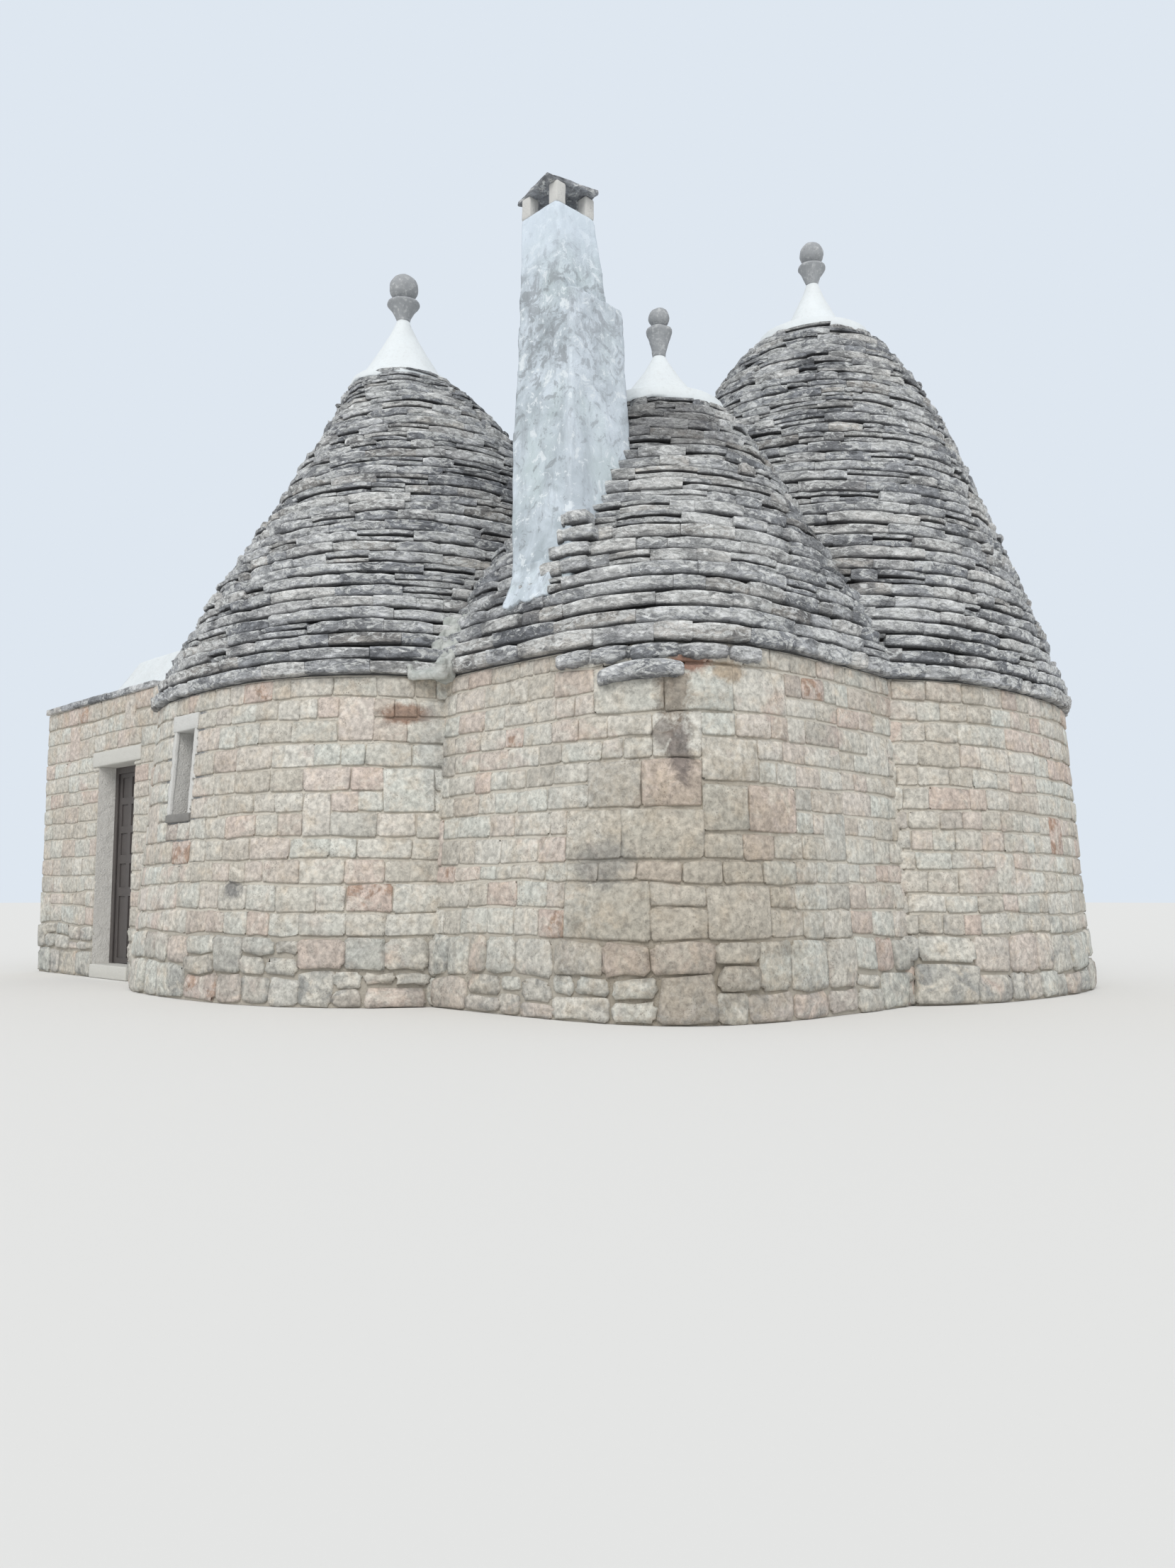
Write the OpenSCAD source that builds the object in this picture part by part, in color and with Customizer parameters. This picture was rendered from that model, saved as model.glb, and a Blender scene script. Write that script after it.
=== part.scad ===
// A trullo house: three round-cornered stone rooms under corbelled cones of grey
// limestone slabs, a square whitewashed chimney, and a low wing that holds the door.
// The plan is drawn with the middle of the main room at zero. X runs along the front,
// Y runs into the house, and Z is height above the ground, in millimetres.

/* [Walls] */
// Height of the walls from the ground to the eaves
wall_h = 2790; // [2700:10:2900]
// How far the foot of a round wall stands out beyond its top
batter = 170; // [120:10:200]
// Height of the stone floor above the ground
floor_h = 120; // [80:10:150]
// How far the lowest roof slabs reach beyond the wall top
eave_out = 60; // [40:5:80]

/* [Main room] */
// Half of the outside width at the wall top
main_half = 2340; // [2300:10:2380]
// Half of the square room inside
main_room = 1500; // [1450:10:1520]
// Height of the grey roof above the eaves
main_rise = 3730; // [3600:10:3850]
// Number of slab courses in the roof
main_courses = 34; // [30:1:36]
// How far the middle of the roof leans away from the front
main_lean = 190; // [0:10:200]

/* [Hearth room] */
// Half of the outside width at the wall top
hearth_half = 1850; // [1820:10:1870]
// Height of the grey roof above the eaves
hearth_rise = 2740; // [2650:10:2800]
// Number of slab courses in the roof
hearth_courses = 23; // [20:1:25]

/* [Rear room] */
// Half of the outside width at the wall top
rear_half = 2300; // [2280:10:2320]
// Half of the square room inside
rear_room = 1400; // [1350:10:1420]
// Height of the grey roof above the eaves
rear_rise = 4330; // [4250:10:4450]
// Number of slab courses in the roof
rear_courses = 38; // [34:1:40]

/* [Wing] */
// Length of the wing's front, from its end wall to the main room's middle
wing_reach = 4950; // [4900:10:5050]
// Thickness of the wing's walls
wing_wall = 550; // [500:10:580]
// Height of the wing's coping above the ground
coping_top = 3240; // [3200:10:3260]

/* [Door] */
// Width of the doorway between its stone jambs
door_w = 970; // [940:10:980]
// Height of the lintel's underside above the ground
door_head = 2400; // [2380:10:2420]
// How far the door leaf stands back from the wall face
door_set = 220; // [200:5:240]
// Thickness of the door leaf
leaf_t = 45; // [42:1:48]

/* [Window] */
// Width of the window opening
window_w = 377; // [350:1:400]
// Height of the sill's top above the ground
window_sill_z = 1670; // [1640:10:1700]
// Height of the window opening
window_h = 790; // [760:10:810]

/* [Chimney] */
// Side of the square stack where it leaves the roof
stack_side = 706; // [690:2:710]
// Side of the square flue
flue = 260; // [240:10:280]
// Height of the shoulder above the ground
shoulder_z = 5960; // [5900:10:6050]
// Height of the upper stack's top above the ground
upper_top = 6770; // [6700:10:6850]
// Height of the corner posts
post_h = 190; // [170:10:220]
// Thickness of the cap slab
cap_t = 40; // [35:5:50]

/* [Hidden] */

// Middles of the rooms on the plan
main_at = [0, 0];
hearth_at = [3060, 634];
rear_at = [3050, 3240];
chimney_at = [3188, -653];
flue_at = [3115, -715];

// The frame's origin lies under the middle of the whole house
mid_x = (rear_at.x + rear_half + batter - wing_reach) / 2;
mid_y = (rear_at.y + rear_half + batter - main_half - batter) / 2;

// How square each plan is: 2 is a circle, and more is squarer
main_square = 2.6;
hearth_square = 3.6;
plan_sides = 48;

// How each roof swells: 1 is a straight cone, and less is more like a beehive
main_swell = 0.74;
hearth_swell = 0.62;
rear_swell = 0.55;
main_tip_half = 410;
hearth_tip_half = 350;
rear_tip_half = 320;
// How far the main roof's tip stands from the middle of its walls
main_tip_shift = [-40, -100];
// Slabs get thinner towards the top by this share
slab_taper = 0.2;
// Share of a roof's height over which its plan turns from square to round
rounding = 0.5;

// Vertical planes in which the rooms and roofs meet
wall_valley_x = 2200;
back_valley_y = 1540;
wing_valley_x = -2150;
far = 9000;
slant_at = [1500, 1594];
slant_run = 0.941;
function slant_y(x) = slant_at.y - (x - slant_at.x) * slant_run;
// The front valley between the roofs runs in and to the left from the eaves
valley_at = [2220, -1250];
valley_run = 0.29;
function valley_x(y) = valley_at.x - (y - valley_at.y) * valley_run;
// It ends where it meets the slanting plane before the rear room
valley_fall = slant_at.y + slant_run * slant_at.x - valley_at.y;
valley_end_x = (valley_at.x - valley_run * valley_fall) / (1 - valley_run * slant_run);
valley_end = [valley_end_x, slant_y(valley_end_x)];

// The hearth room's inside, and the hearth in its thick front wall
hearth_in = [2440, -300];
hearth_out = [4140, 1150];
hearth_mouth = [600, 550, 1230];
hearth_dome_at = [3290, 425];
hearth_dome = 600;

// Arched passages between the rooms
arch_w = 900;
arch_spring = 1600;

// The wing and its doorway
wing_front_y = -1870;
wing_back_y = 1500;
door_x = -3390;
threshold_h = 150;
lintel_h = 170;
lintel_bear = 140;
lintel_depth = 320;
wing_slab_t = 210;
coping_t = 70;
frame_bar = 60;
frame_depth = 66;
frame_stop = 15;
gap = 6;

// The window in the main room's front wall: its stones run back to one plane, and stand
// out in front by a little, the sill further than the lintel
window_x = -235;
window_stone_back = -2100;
window_lintel_size = [480, 2378, 150];
window_sill_size = [470, 2435, 75];

main_eave = main_half + eave_out;
hearth_eave = hearth_half + eave_out;
rear_eave = rear_half + eave_out;

// Radius of a rounded square with half side 1 at one angle, and its outline
function plan_radius(a, n) = pow(pow(abs(cos(a)), n) + pow(abs(sin(a)), n), -1 / n);
function rounded_plan(half, n) =
  [for (i = [0:plan_sides - 1]) let (a = 360 * (i + 0.5) / plan_sides)
    half * plan_radius(a, n) * [cos(a), sin(a)]];

// Height of the underside of course i, and half the width of the roof at share t of its height
function course_z(i, count, rise) = let (u = i / count) round(rise * u * (1 + slab_taper - slab_taper * u));
function roof_half(t, eave, tip, swell) = tip + (eave - tip) * pow(1 - t, swell);
function dome_radius(t, room) = t < 0.8 ? room * sqrt(1 - t / 0.8) : 0;

module place() { translate([-mid_x, -mid_y, 0]) children(); }

module box(low, high) { translate(low) cube(high - low); }

// A battered wall mass with a rounded square plan
module drum(at, half, square) {
  translate([at.x, at.y, 0])
    linear_extrude(height = wall_h, scale = half / (half + batter))
      polygon(rounded_plan(half + batter, square));
}

module main_drum() { drum(main_at, main_half, main_square); }

module ground(outline) { translate([0, 0, -1]) linear_extrude(height = wall_h + 2) polygon(outline); }

main_ground = [[-far, -far], [far, -far], [far, hearth_out.y], [wall_valley_x, hearth_out.y],
  [wall_valley_x, slant_y(wall_valley_x)], [-far, slant_y(-far)]];
hearth_ground = [[wall_valley_x, -far], [far, -far], [far, back_valley_y], [wall_valley_x, back_valley_y]];
rear_ground = [[-far, slant_y(-far)], [wall_valley_x, slant_y(wall_valley_x)], [wall_valley_x, back_valley_y],
  [far, back_valley_y], [far, far], [-far, far * 2]];

// An arched passage along X or Y, from the ground up
module arch_x(x0, x1, y, w = arch_w) {
  box([x0, y - w / 2, -1], [x1, y + w / 2, arch_spring]);
  translate([x0, y, arch_spring]) rotate([0, 90, 0]) cylinder(r = w / 2, h = x1 - x0, $fn = 64);
}

module arch_y(y0, y1, x, w = arch_w) {
  box([x - w / 2, y0, -1], [x + w / 2, y1, arch_spring]);
  translate([x, y1, arch_spring]) rotate([90, 0, 0]) cylinder(r = w / 2, h = y1 - y0, $fn = 64);
}

main_to_hearth_y = 520;
main_to_wing_y = -200;
hearth_to_rear_x = 3290;

module passages() {
  arch_x(main_room - 1, hearth_in.x + 1, main_to_hearth_y);
  arch_x(-main_half - batter - 10, -main_room + 1, main_to_wing_y, door_w - 120);
  arch_y(hearth_out.y - 1, rear_at.y - rear_room + 1, hearth_to_rear_x, 800);
}

// The hearth room's space, with a straight left side
module hearth_space(z0, z1) {
  box([hearth_in.x, hearth_in.y, z0], [hearth_out.x, hearth_out.y, z1]);
}

// Walls of the main room, split where their inner faces run on
module main_walls(low, high) {
  difference() {
    intersection() {
      union() {
        main_drum();
        box([main_room, hearth_in.y, 0], [hearth_in.x, hearth_out.y, wall_h]);
      }
      ground(main_ground);
      box([low.x, low.y, -1], [high.x, high.y, wall_h + 1]);
    }
    hearth_space(-2, wall_h + 2);
    passages();
    window_cut();
  }
}

module window_cut() {
  box([window_x - window_w / 2, -far, window_sill_z],
    [window_x + window_w / 2, -main_room + 1, window_sill_z + window_h]);
  window_lintel_block(far);
  window_sill_block(far);
}

module window_lintel_block(out) {
  half = window_lintel_size.x / 2;
  z = window_sill_z + window_h;
  box([window_x - half, -out, z], [window_x + half, window_stone_back, z + window_lintel_size.z]);
}

module window_sill_block(out) {
  half = window_sill_size.x / 2;
  box([window_x - half, -out, window_sill_z - window_sill_size.z],
    [window_x + half, window_stone_back, window_sill_z]);
}

module main_front_wall() { color("BurlyWood") place() main_walls([-far, -far], [far, -main_room]); }
module main_left_wall() { color("Wheat") place() main_walls([-far, -main_room], [-main_room, main_room]); }
module main_back_wall() { color("BurlyWood") place() main_walls([-far, main_room], [far, far]); }
module main_right_wall() { color("Wheat") place() main_walls([main_room, -main_room], [far, main_room]); }

// Walls of the hearth room, with the hearth and its flue in the front one
module hearth_walls(low, high) {
  difference() {
    intersection() {
      drum(hearth_at, hearth_half, hearth_square);
      ground(hearth_ground);
      box([low.x, low.y, -1], [high.x, high.y, wall_h + 1]);
    }
    intersection() {
      main_drum();
      ground(main_ground);
    }
    passages();
    flue_shaft(-1, wall_h + 1);
    hearth_recess(-1);
    corner_courses(notch = true);
  }
}

module flue_shaft(z0, z1) {
  box([flue_at.x - flue / 2, flue_at.y - flue / 2, z0], [flue_at.x + flue / 2, flue_at.y + flue / 2, z1]);
}

module hearth_recess(z0) {
  box([chimney_at.x - hearth_mouth.x / 2, hearth_in.y - hearth_mouth.y, z0],
    [chimney_at.x + hearth_mouth.x / 2, hearth_in.y + 1, floor_h + hearth_mouth.z]);
}

module hearth_front_wall() { color("BurlyWood") place() hearth_walls([-far, -far], [far, hearth_in.y]); }
module hearth_right_wall() { color("Wheat") place() hearth_walls([hearth_out.x, hearth_in.y], [far, far]); }
module hearth_back_wall() { color("Tan") place() hearth_walls([-far, hearth_out.y], [hearth_out.x, far]); }

// Walls of the rear room
module rear_walls(low, high) {
  difference() {
    intersection() {
      drum(rear_at, rear_half, main_square);
      ground(rear_ground);
      box([low.x, low.y, -1], [high.x, high.y, wall_h + 1]);
    }
    passages();
  }
}

rear_in = [rear_at.x - rear_room, rear_at.y - rear_room];
rear_out = [rear_at.x + rear_room, rear_at.y + rear_room];
module rear_front_wall() { color("Wheat") place() rear_walls([-far, -far], [far, rear_in.y]); }
module rear_left_wall() { color("BurlyWood") place() rear_walls([-far, rear_in.y], [rear_in.x, rear_out.y]); }
module rear_right_wall() { color("BurlyWood") place() rear_walls([rear_out.x, rear_in.y], [far, rear_out.y]); }
module rear_back_wall() { color("Wheat") place() rear_walls([-far, rear_out.y], [far, far]); }

// One paved floor through all the rooms and passages
module stone_floor() {
  color("Silver") place() {
    box([-main_room, -main_room, 0], [main_room, main_room, floor_h]);
    box([main_room, main_to_hearth_y - arch_w / 2, 0], [hearth_in.x, main_to_hearth_y + arch_w / 2, floor_h]);
    box([hearth_in.x, hearth_in.y, 0], [hearth_out.x, hearth_out.y, floor_h]);
    box([chimney_at.x - hearth_mouth.x / 2, hearth_in.y - hearth_mouth.y, 0],
      [chimney_at.x + hearth_mouth.x / 2, hearth_in.y, floor_h]);
    box([hearth_to_rear_x - 400, hearth_out.y, 0], [hearth_to_rear_x + 400, rear_in.y, floor_h]);
    box([rear_in.x, rear_in.y, 0], [rear_out.x, rear_out.y, floor_h]);
    wing_passage_floor();
    difference() {
      box([-wing_reach + wing_wall, wing_front_y + wing_wall, 0],
        [-main_room - 400, wing_back_y - wing_wall, floor_h]);
      main_drum();
    }
  }
}

module wing_passage_floor() {
  half = (door_w - 120) / 2;
  intersection() {
    box([-far, main_to_wing_y - half, 0], [-main_room, main_to_wing_y + half, floor_h]);
    main_drum();
  }
}

// The wing: straight walls that die into the main room's round wall
module wing_block(low, high) {
  difference() {
    box(low, high);
    main_drum();
    door_lintel_block(far);
  }
}

module door_lintel_block(out) {
  box([door_x - lintel_bear, wing_front_y - out, door_head],
    [door_x + door_w + lintel_bear, wing_front_y + lintel_depth, door_head + lintel_h]);
}

wing_in_y = wing_front_y + wing_wall;
module wing_front_wall_left() {
  color("Wheat") place() wing_block([-wing_reach, wing_front_y, 0], [door_x, wing_in_y, wall_h]);
}
module wing_front_wall_right() {
  color("Wheat") place() wing_block([door_x + door_w, wing_front_y, 0], [-main_room, wing_in_y, wall_h]);
}
module wing_wall_over_door() {
  color("BurlyWood") place() wing_block([door_x, wing_front_y, door_head], [door_x + door_w, wing_in_y, wall_h]);
}
module wing_end_wall() {
  color("BurlyWood") place()
    box([-wing_reach, wing_in_y, 0], [-wing_reach + wing_wall, wing_back_y - wing_wall, wall_h]);
}
module wing_back_wall() {
  color("Wheat") place() wing_block([-wing_reach, wing_back_y - wing_wall, 0], [-main_room, wing_back_y, wall_h]);
}

// The wing's flat slab with a lime-washed hip that leans on the main cone
parapet_z = coping_top - coping_t;
slab_z = wall_h + wing_slab_t;
module wing_slab() { color("WhiteSmoke") place() wing_strip(wall_h, slab_z, 0); }

// Half widths and heights of the hip's foot, shoulder and crown
hip_y = (wing_front_y + wing_back_y) / 2;
hip_foot = [2450, 1360, 20];
hip_shoulder = [1950, 940, 830];
hip_crown = [1250, 260, 1130];
hip_right = -1300;
module wing_hip() {
  color("WhiteSmoke") place() difference() {
    hull() {
      for (level = [hip_foot, hip_shoulder, hip_crown])
        box([wing_valley_x - level.x, hip_y - level.y, slab_z], [hip_right, hip_y + level.y, slab_z + level.z]);
    }
    intersection() {
      main_slabs(0, 14, false);
      box([wing_valley_x, -far, 0], [far, far, far]);
    }
  }
}

// A flat layer over the wing, which runs on in front up to the main roof's slabs
module wing_strip(z0, z1, out) {
  box([-wing_reach - out, wing_front_y - out, z0], [wing_valley_x, wing_back_y + out, z1]);
  difference() {
    box([wing_valley_x - 1, wing_front_y - out, z0], [wing_valley_x + 400, wing_front_y + 400, z1]);
    main_slabs(0, 5, false);
  }
}

parapet_t = 300;
module wing_rim(z0, z1, out) {
  difference() {
    wing_strip(z0, z1, out);
    box([-wing_reach + parapet_t, wing_front_y + parapet_t, z0 - 1], [far, wing_back_y - parapet_t, z1 + 1]);
  }
}

module wing_parapet() { color("Wheat") place() wing_rim(slab_z, parapet_z, 0); }
module wing_coping() { color("LightGray") place() wing_rim(parapet_z, coping_top, 35); }

// The doorway: stone lintel and threshold, timber frame, boarded leaf and latch
module door_lintel() { color("Linen") place() door_lintel_block(20); }
module door_threshold() {
  color("Gainsboro") place() {
    box([door_x, wing_front_y - 30, 0], [door_x + door_w, wing_in_y, threshold_h]);
  }
}

leaf_y = wing_front_y + door_set;
frame_y = leaf_y - frame_stop - gap;
leaf_x = door_x + frame_bar + gap;
leaf_w = door_w - 2 * frame_bar - 2 * gap - 3;
leaf_z = threshold_h + gap;
leaf_h = door_head - frame_bar - gap - leaf_z;
module door_frame() {
  color("SaddleBrown") place() difference() {
    box([door_x, frame_y, threshold_h], [door_x + door_w, frame_y + frame_depth, door_head]);
    box([door_x + frame_bar, frame_y + frame_stop, threshold_h - 1],
      [door_x + door_w - frame_bar, frame_y + frame_depth + 1, door_head - frame_bar]);
    box([door_x + frame_bar + frame_stop, frame_y - 1, threshold_h - 1],
      [door_x + door_w - frame_bar - frame_stop, frame_y + frame_depth, door_head - frame_bar - frame_stop]);
  }
}

// Three columns of sunk panels, small above and tall below, behind flat stiles and rails
panel_cols = 3;
panel_rows = [60, 760, 860, 1130, 1230, 1480, 1560, 1810, 1890, 2120];
panel_sink = 14;
stile = 85;
module door_leaf() {
  panel_w = (leaf_w - stile * (panel_cols + 1)) / panel_cols;
  color("#3b2a22") place() translate([leaf_x, leaf_y, leaf_z]) difference() {
    cube([leaf_w, leaf_t, leaf_h]);
    for (c = [0:panel_cols - 1], r = [0:2:len(panel_rows) - 1])
      translate([stile + c * (panel_w + stile), -1, panel_rows[r]])
        cube([panel_w, panel_sink + 1, panel_rows[r + 1] - panel_rows[r]]);
  }
}

// Each hinge is an iron pin on the frame's back, and a long strap with an eye on the leaf's
pin_at = [leaf_x - 3, leaf_y + leaf_t + 12];
pin_r = 7;
eye_r = 11;
pin_gap = 0.4;
strap_t = 5;
strap_l = 520;
strap_h = 40;
pin_zs = [420, 1840];
pin_past = 12;
pin_back = pin_at.y - leaf_y - leaf_t;
seat_h = 16;
seat_arm = [50, 10];
pin_plate = [42, 6, 38];
pin_plate_at = [-54, -40];
// A strap's underside stands this far over the pin's seat
strap_lift = 1;
// The seat is cut back over the leaf, so that the door swings past it
leaf_relief = [40, 7];
module door_pins() {
  color("DimGray") place() for (z = pin_zs) translate([pin_at.x, pin_at.y, z]) {
    cylinder(r = pin_r, h = strap_h + pin_past, $fn = 32);
    difference() {
      union() {
        translate([0, 0, -seat_h]) cylinder(r = eye_r, h = seat_h, $fn = 32);
        translate([-seat_arm.x, -pin_back, -seat_h]) cube([seat_arm.x, seat_arm.y, seat_h]);
      }
      translate([-3, -pin_back - 1, -seat_h - 1]) cube([leaf_relief.x, leaf_relief.y, seat_h + 2]);
    }
    translate([pin_plate_at.x, -pin_back, pin_plate_at.y]) cube(pin_plate);
  }
}
module door_straps() {
  color("DimGray") place() for (z = pin_zs) translate([pin_at.x, pin_at.y, z + strap_lift]) difference() {
    union() {
      cylinder(r = eye_r, h = strap_h, $fn = 32);
      translate([3, -pin_back, 0]) cube([strap_l, strap_t, strap_h]);
    }
    translate([0, 0, -1]) cylinder(r = pin_r + pin_gap, h = strap_h + 2, $fn = 32);
  }
}

// A plate on the leaf's free stile, and a lever handle on it
latch_z = 1050;
plate = [44, 6, 180];
lever_z = latch_z + 30;
lever_r = 8;
lever_l = 120;
spindle_r = 9;
spindle_l = 45;
module door_latch() {
  x = leaf_x + leaf_w - stile / 2;
  color("DimGray") place() {
    box([x - plate.x / 2, leaf_y - plate.y, latch_z - plate.z / 2], [x + plate.x / 2, leaf_y, latch_z + plate.z / 2]);
    translate([x, leaf_y - plate.y + 1, lever_z]) rotate([90, 0, 0])
      cylinder(r = spindle_r, h = spindle_l, $fn = 32);
    translate([x + spindle_r, leaf_y - plate.y - spindle_l + 1, lever_z]) rotate([0, -90, 0])
      cylinder(r = lever_r, h = lever_l, $fn = 32);
  }
}

module window_lintel() { color("Linen") place() window_lintel_block(window_lintel_size.y); }
module window_sill() { color("Linen") place() window_sill_block(window_sill_size.y); }

window_y = -1760;
window_bar = 40;
window_frame_t = 50;
glass_in = 20;
glass_t = 6;
module window_frame() {
  half = window_w / 2;
  inner = half - window_bar;
  color("SaddleBrown") place() difference() {
    box([window_x - half, window_y, window_sill_z],
      [window_x + half, window_y + window_frame_t, window_sill_z + window_h]);
    box([window_x - inner, window_y - 1, window_sill_z + window_bar],
      [window_x + inner, window_y + window_frame_t + 1, window_sill_z + window_h - window_bar]);
  }
}
module window_glass() {
  half = window_w / 2 - window_bar;
  color("LightSteelBlue", 0.4) place()
    box([window_x - half, window_y + glass_in, window_sill_z + window_bar],
      [window_x + half, window_y + glass_in + glass_t, window_sill_z + window_h - window_bar]);
}

// A roof: flat courses of slabs, each a little smaller than the one below, over a corbelled dome
module slab_courses(at, first, last, count, rise, eave, tip, swell, square, lean, tip_shift,
  dome_at, room, outline) {
  for (i = [first:last]) {
    z = course_z(i, count, rise);
    t = z / course_z(count - 1, count, rise);
    half = roof_half(t, eave, tip, swell);
    drift = lean * sin(180 * t * t) * sqrt(0.5);
    translate([0, 0, wall_h + z]) linear_extrude(height = course_z(i + 1, count, rise) - z) difference() {
      intersection() {
        translate(at + t * tip_shift + [drift, drift])
          if (t < rounding) polygon(rounded_plan(half, 2 + (square - 2) * (1 - t / rounding)));
          else circle(r = half, $fn = 96);
        polygon(outline);
      }
      if (room > 0 && dome_radius(t, room) > 150)
        translate(dome_at) circle(r = dome_radius(t, room), $fn = 64);
    }
  }
}

everywhere = [[-far, -far], [far, -far], [far, far], [-far, far]];
main_cover = [[wing_valley_x, -far], [valley_x(-far), -far], valley_end, [wing_valley_x, slant_y(wing_valley_x)]];
hearth_cover = [[valley_x(-far), -far], [far, -far], [far, back_valley_y],
  [valley_x(back_valley_y), back_valley_y]];
rear_cover = [[-far, slant_y(-far)], valley_end, [valley_x(back_valley_y), back_valley_y], [far, back_valley_y],
  [far, far], [-far, far * 2]];

module main_slabs(first, last, bounded = true) {
  slab_courses(main_at, first, last, main_courses, main_rise, main_eave, main_tip_half, main_swell, main_square,
    main_lean, main_tip_shift, main_at, bounded ? main_room : 0, bounded ? main_cover : everywhere);
}

// The mortar gutter: a channel down the front valley and a scoop under it, over the eaves
gutter_turn = 26;
gutter_slope = 56;
scoop_slope = 24;
module gutter_run(x, y0, y1, z0, z1) {
  translate([valley_at.x, valley_at.y, wall_h]) rotate([0, 0, gutter_turn]) rotate([gutter_slope, 0, 0])
    box([-x, y0, z0], [x, y1, z1]);
}
module gutter_scoop(x, y0, y1, z0, z1) {
  translate([valley_at.x - 60, valley_at.y - 60, wall_h + 90])
    rotate([0, 0, gutter_turn]) rotate([scoop_slope, 0, 0]) box([-x, y0, z0], [x, y1, z1]);
}
module gutter_blocks() {
  gutter_run(110, -20, 640, -160, 125);
  gutter_scoop(165, -190, 160, -60, 75);
}

module main_roof_lower() {
  color("DarkGray") place() difference() {
    main_slabs(0, 13);
    gutter_blocks();
  }
}
module main_roof_upper() { color("Gray") place() main_slabs(14, main_courses - 1); }

module hearth_roof() {
  color("DarkGray") place() difference() {
    slab_courses(hearth_at, 0, hearth_courses - 1, hearth_courses, hearth_rise, hearth_eave, hearth_tip_half,
      hearth_swell, hearth_square, 0, [0, 0], hearth_dome_at, hearth_dome, hearth_cover);
    box([chimney_at.x - stack_side / 2, chimney_at.y - stack_side / 2, wall_h - 1],
      [chimney_at.x + stack_side / 2, chimney_at.y + stack_side / 2, far]);
    gutter_blocks();
  }
}

module rear_slabs(first, last) {
  slab_courses(rear_at, first, last, rear_courses, rear_rise, rear_eave, rear_tip_half, rear_swell, main_square,
    0, [0, 0], rear_at, rear_room, rear_cover);
}
module rear_roof_lower() { color("DarkGray") place() rear_slabs(0, 15); }
module rear_roof_upper() { color("Gray") place() rear_slabs(16, rear_courses - 1); }

// Two short courses of slabs that carry the eave round the hearth room's corner
module corner_course(z0, z1, from, to, out, notch) {
  intersection() {
    translate([hearth_at.x, hearth_at.y, z0]) linear_extrude(height = z1 - z0) difference() {
      polygon(rounded_plan(notch ? far : hearth_half + out, hearth_square));
      polygon(rounded_plan(hearth_half - 260, hearth_square));
    }
    translate([hearth_at.x, hearth_at.y, 0]) linear_extrude(height = far)
      polygon([[0, 0], far * [cos(from), sin(from)], far * [cos(to), sin(to)]]);
  }
}

module corner_courses(notch = false) {
  corner_course(wall_h - 130, wall_h, -72, -27, 50, notch);
  corner_course(wall_h - 275, wall_h - 130, -61, -44, 75, notch);
}

module corner_eave_slabs() { color("DarkGray") place() corner_courses(); }

module valley_gutter() {
  color("WhiteSmoke") place() difference() {
    gutter_blocks();
    gutter_run(60, 20, 641, 90, 200);
    gutter_scoop(115, -191, 70, -5, 200);
    main_drum();
    drum(hearth_at, hearth_half, hearth_square);
  }
}

// A whitewashed tip: a hollow-sided cone whose skirt laps down over the last course of slabs
tip_skirt = 38;
tip_steps = 6;
module white_tip(at, z, r0, r1, h, last_h) {
  foot = r0 + tip_skirt;
  color("White") place() translate([at.x, at.y, z]) difference() {
    rotate_extrude($fn = 64) polygon(concat([[0, -last_h], [foot, -last_h]],
      [for (i = [0:tip_steps]) let (u = i / tip_steps) [r1 + (foot - 8 - r1) * pow(1 - u, 1.18), h * u]], [[0, h]]));
    translate([0, 0, -last_h - 1]) cylinder(r = r0 + 1, h = last_h + 1, $fn = 96);
  }
}
function last_course(count, rise) = rise - course_z(count - 1, count, rise);
main_tip_h = 680;
hearth_tip_h = 470;
rear_tip_h = 600;
module main_white_tip() {
  white_tip(main_at + main_tip_shift, wall_h + main_rise, main_tip_half, 70, main_tip_h,
    last_course(main_courses, main_rise));
}
module hearth_white_tip() {
  white_tip(hearth_at, wall_h + hearth_rise, hearth_tip_half, 60, hearth_tip_h,
    last_course(hearth_courses, hearth_rise));
}
module rear_white_tip() {
  white_tip(rear_at, wall_h + rear_rise, rear_tip_half, 65, rear_tip_h, last_course(rear_courses, rear_rise));
}

// A carved stone pinnacle: a flared cup that carries a ball
module pinnacle(at, z, neck, cup, cup_h, ball) {
  steps = 8;
  color("LightGray") place() translate([at.x, at.y, z]) {
    rotate_extrude($fn = 64) polygon(concat([[0, 0]],
      [for (i = [0:steps]) let (u = i / steps) [neck + (cup - neck) * pow(u, 1.5), cup_h * 0.8 * u]],
      [[cup, cup_h * 0.88], [cup * 0.88, cup_h * 0.94], [cup * 0.6, cup_h], [0, cup_h]]));
    translate([0, 0, cup_h + ball * 0.94]) sphere(r = ball, $fn = 64);
  }
}

main_pinnacle_z = wall_h + main_rise + main_tip_h;
hearth_pinnacle_z = wall_h + hearth_rise + hearth_tip_h;
rear_pinnacle_z = wall_h + rear_rise + rear_tip_h;
module main_pinnacle() { pinnacle(main_at + main_tip_shift, main_pinnacle_z, 70, 176, 240, 157); }
module hearth_pinnacle() { pinnacle(hearth_at, hearth_pinnacle_z, 60, 122, 300, 99); }
module rear_pinnacle() { pinnacle(rear_at, rear_pinnacle_z, 65, 152, 240, 134); }

// The chimney: a square stack that narrows, a shoulder, an upper stack, four posts and a cap
foot_top = 4800;
stack_top_side = 618;
upper_side = 525;
upper_top_side = 448;
post_side = 105;
cap_side = 514;
cap_turn = -13;
// The upper stack's left corner stands on the shoulder's, and its left edge is upright
upper_corner = [chimney_at.x - stack_top_side / 2, chimney_at.y - stack_top_side / 2];
lantern_at = upper_corner + [upper_top_side / 2, upper_top_side / 2];

module frustum(side, top_side, h) {
  linear_extrude(height = h, scale = top_side / side) square(side, center = true);
}

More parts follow.
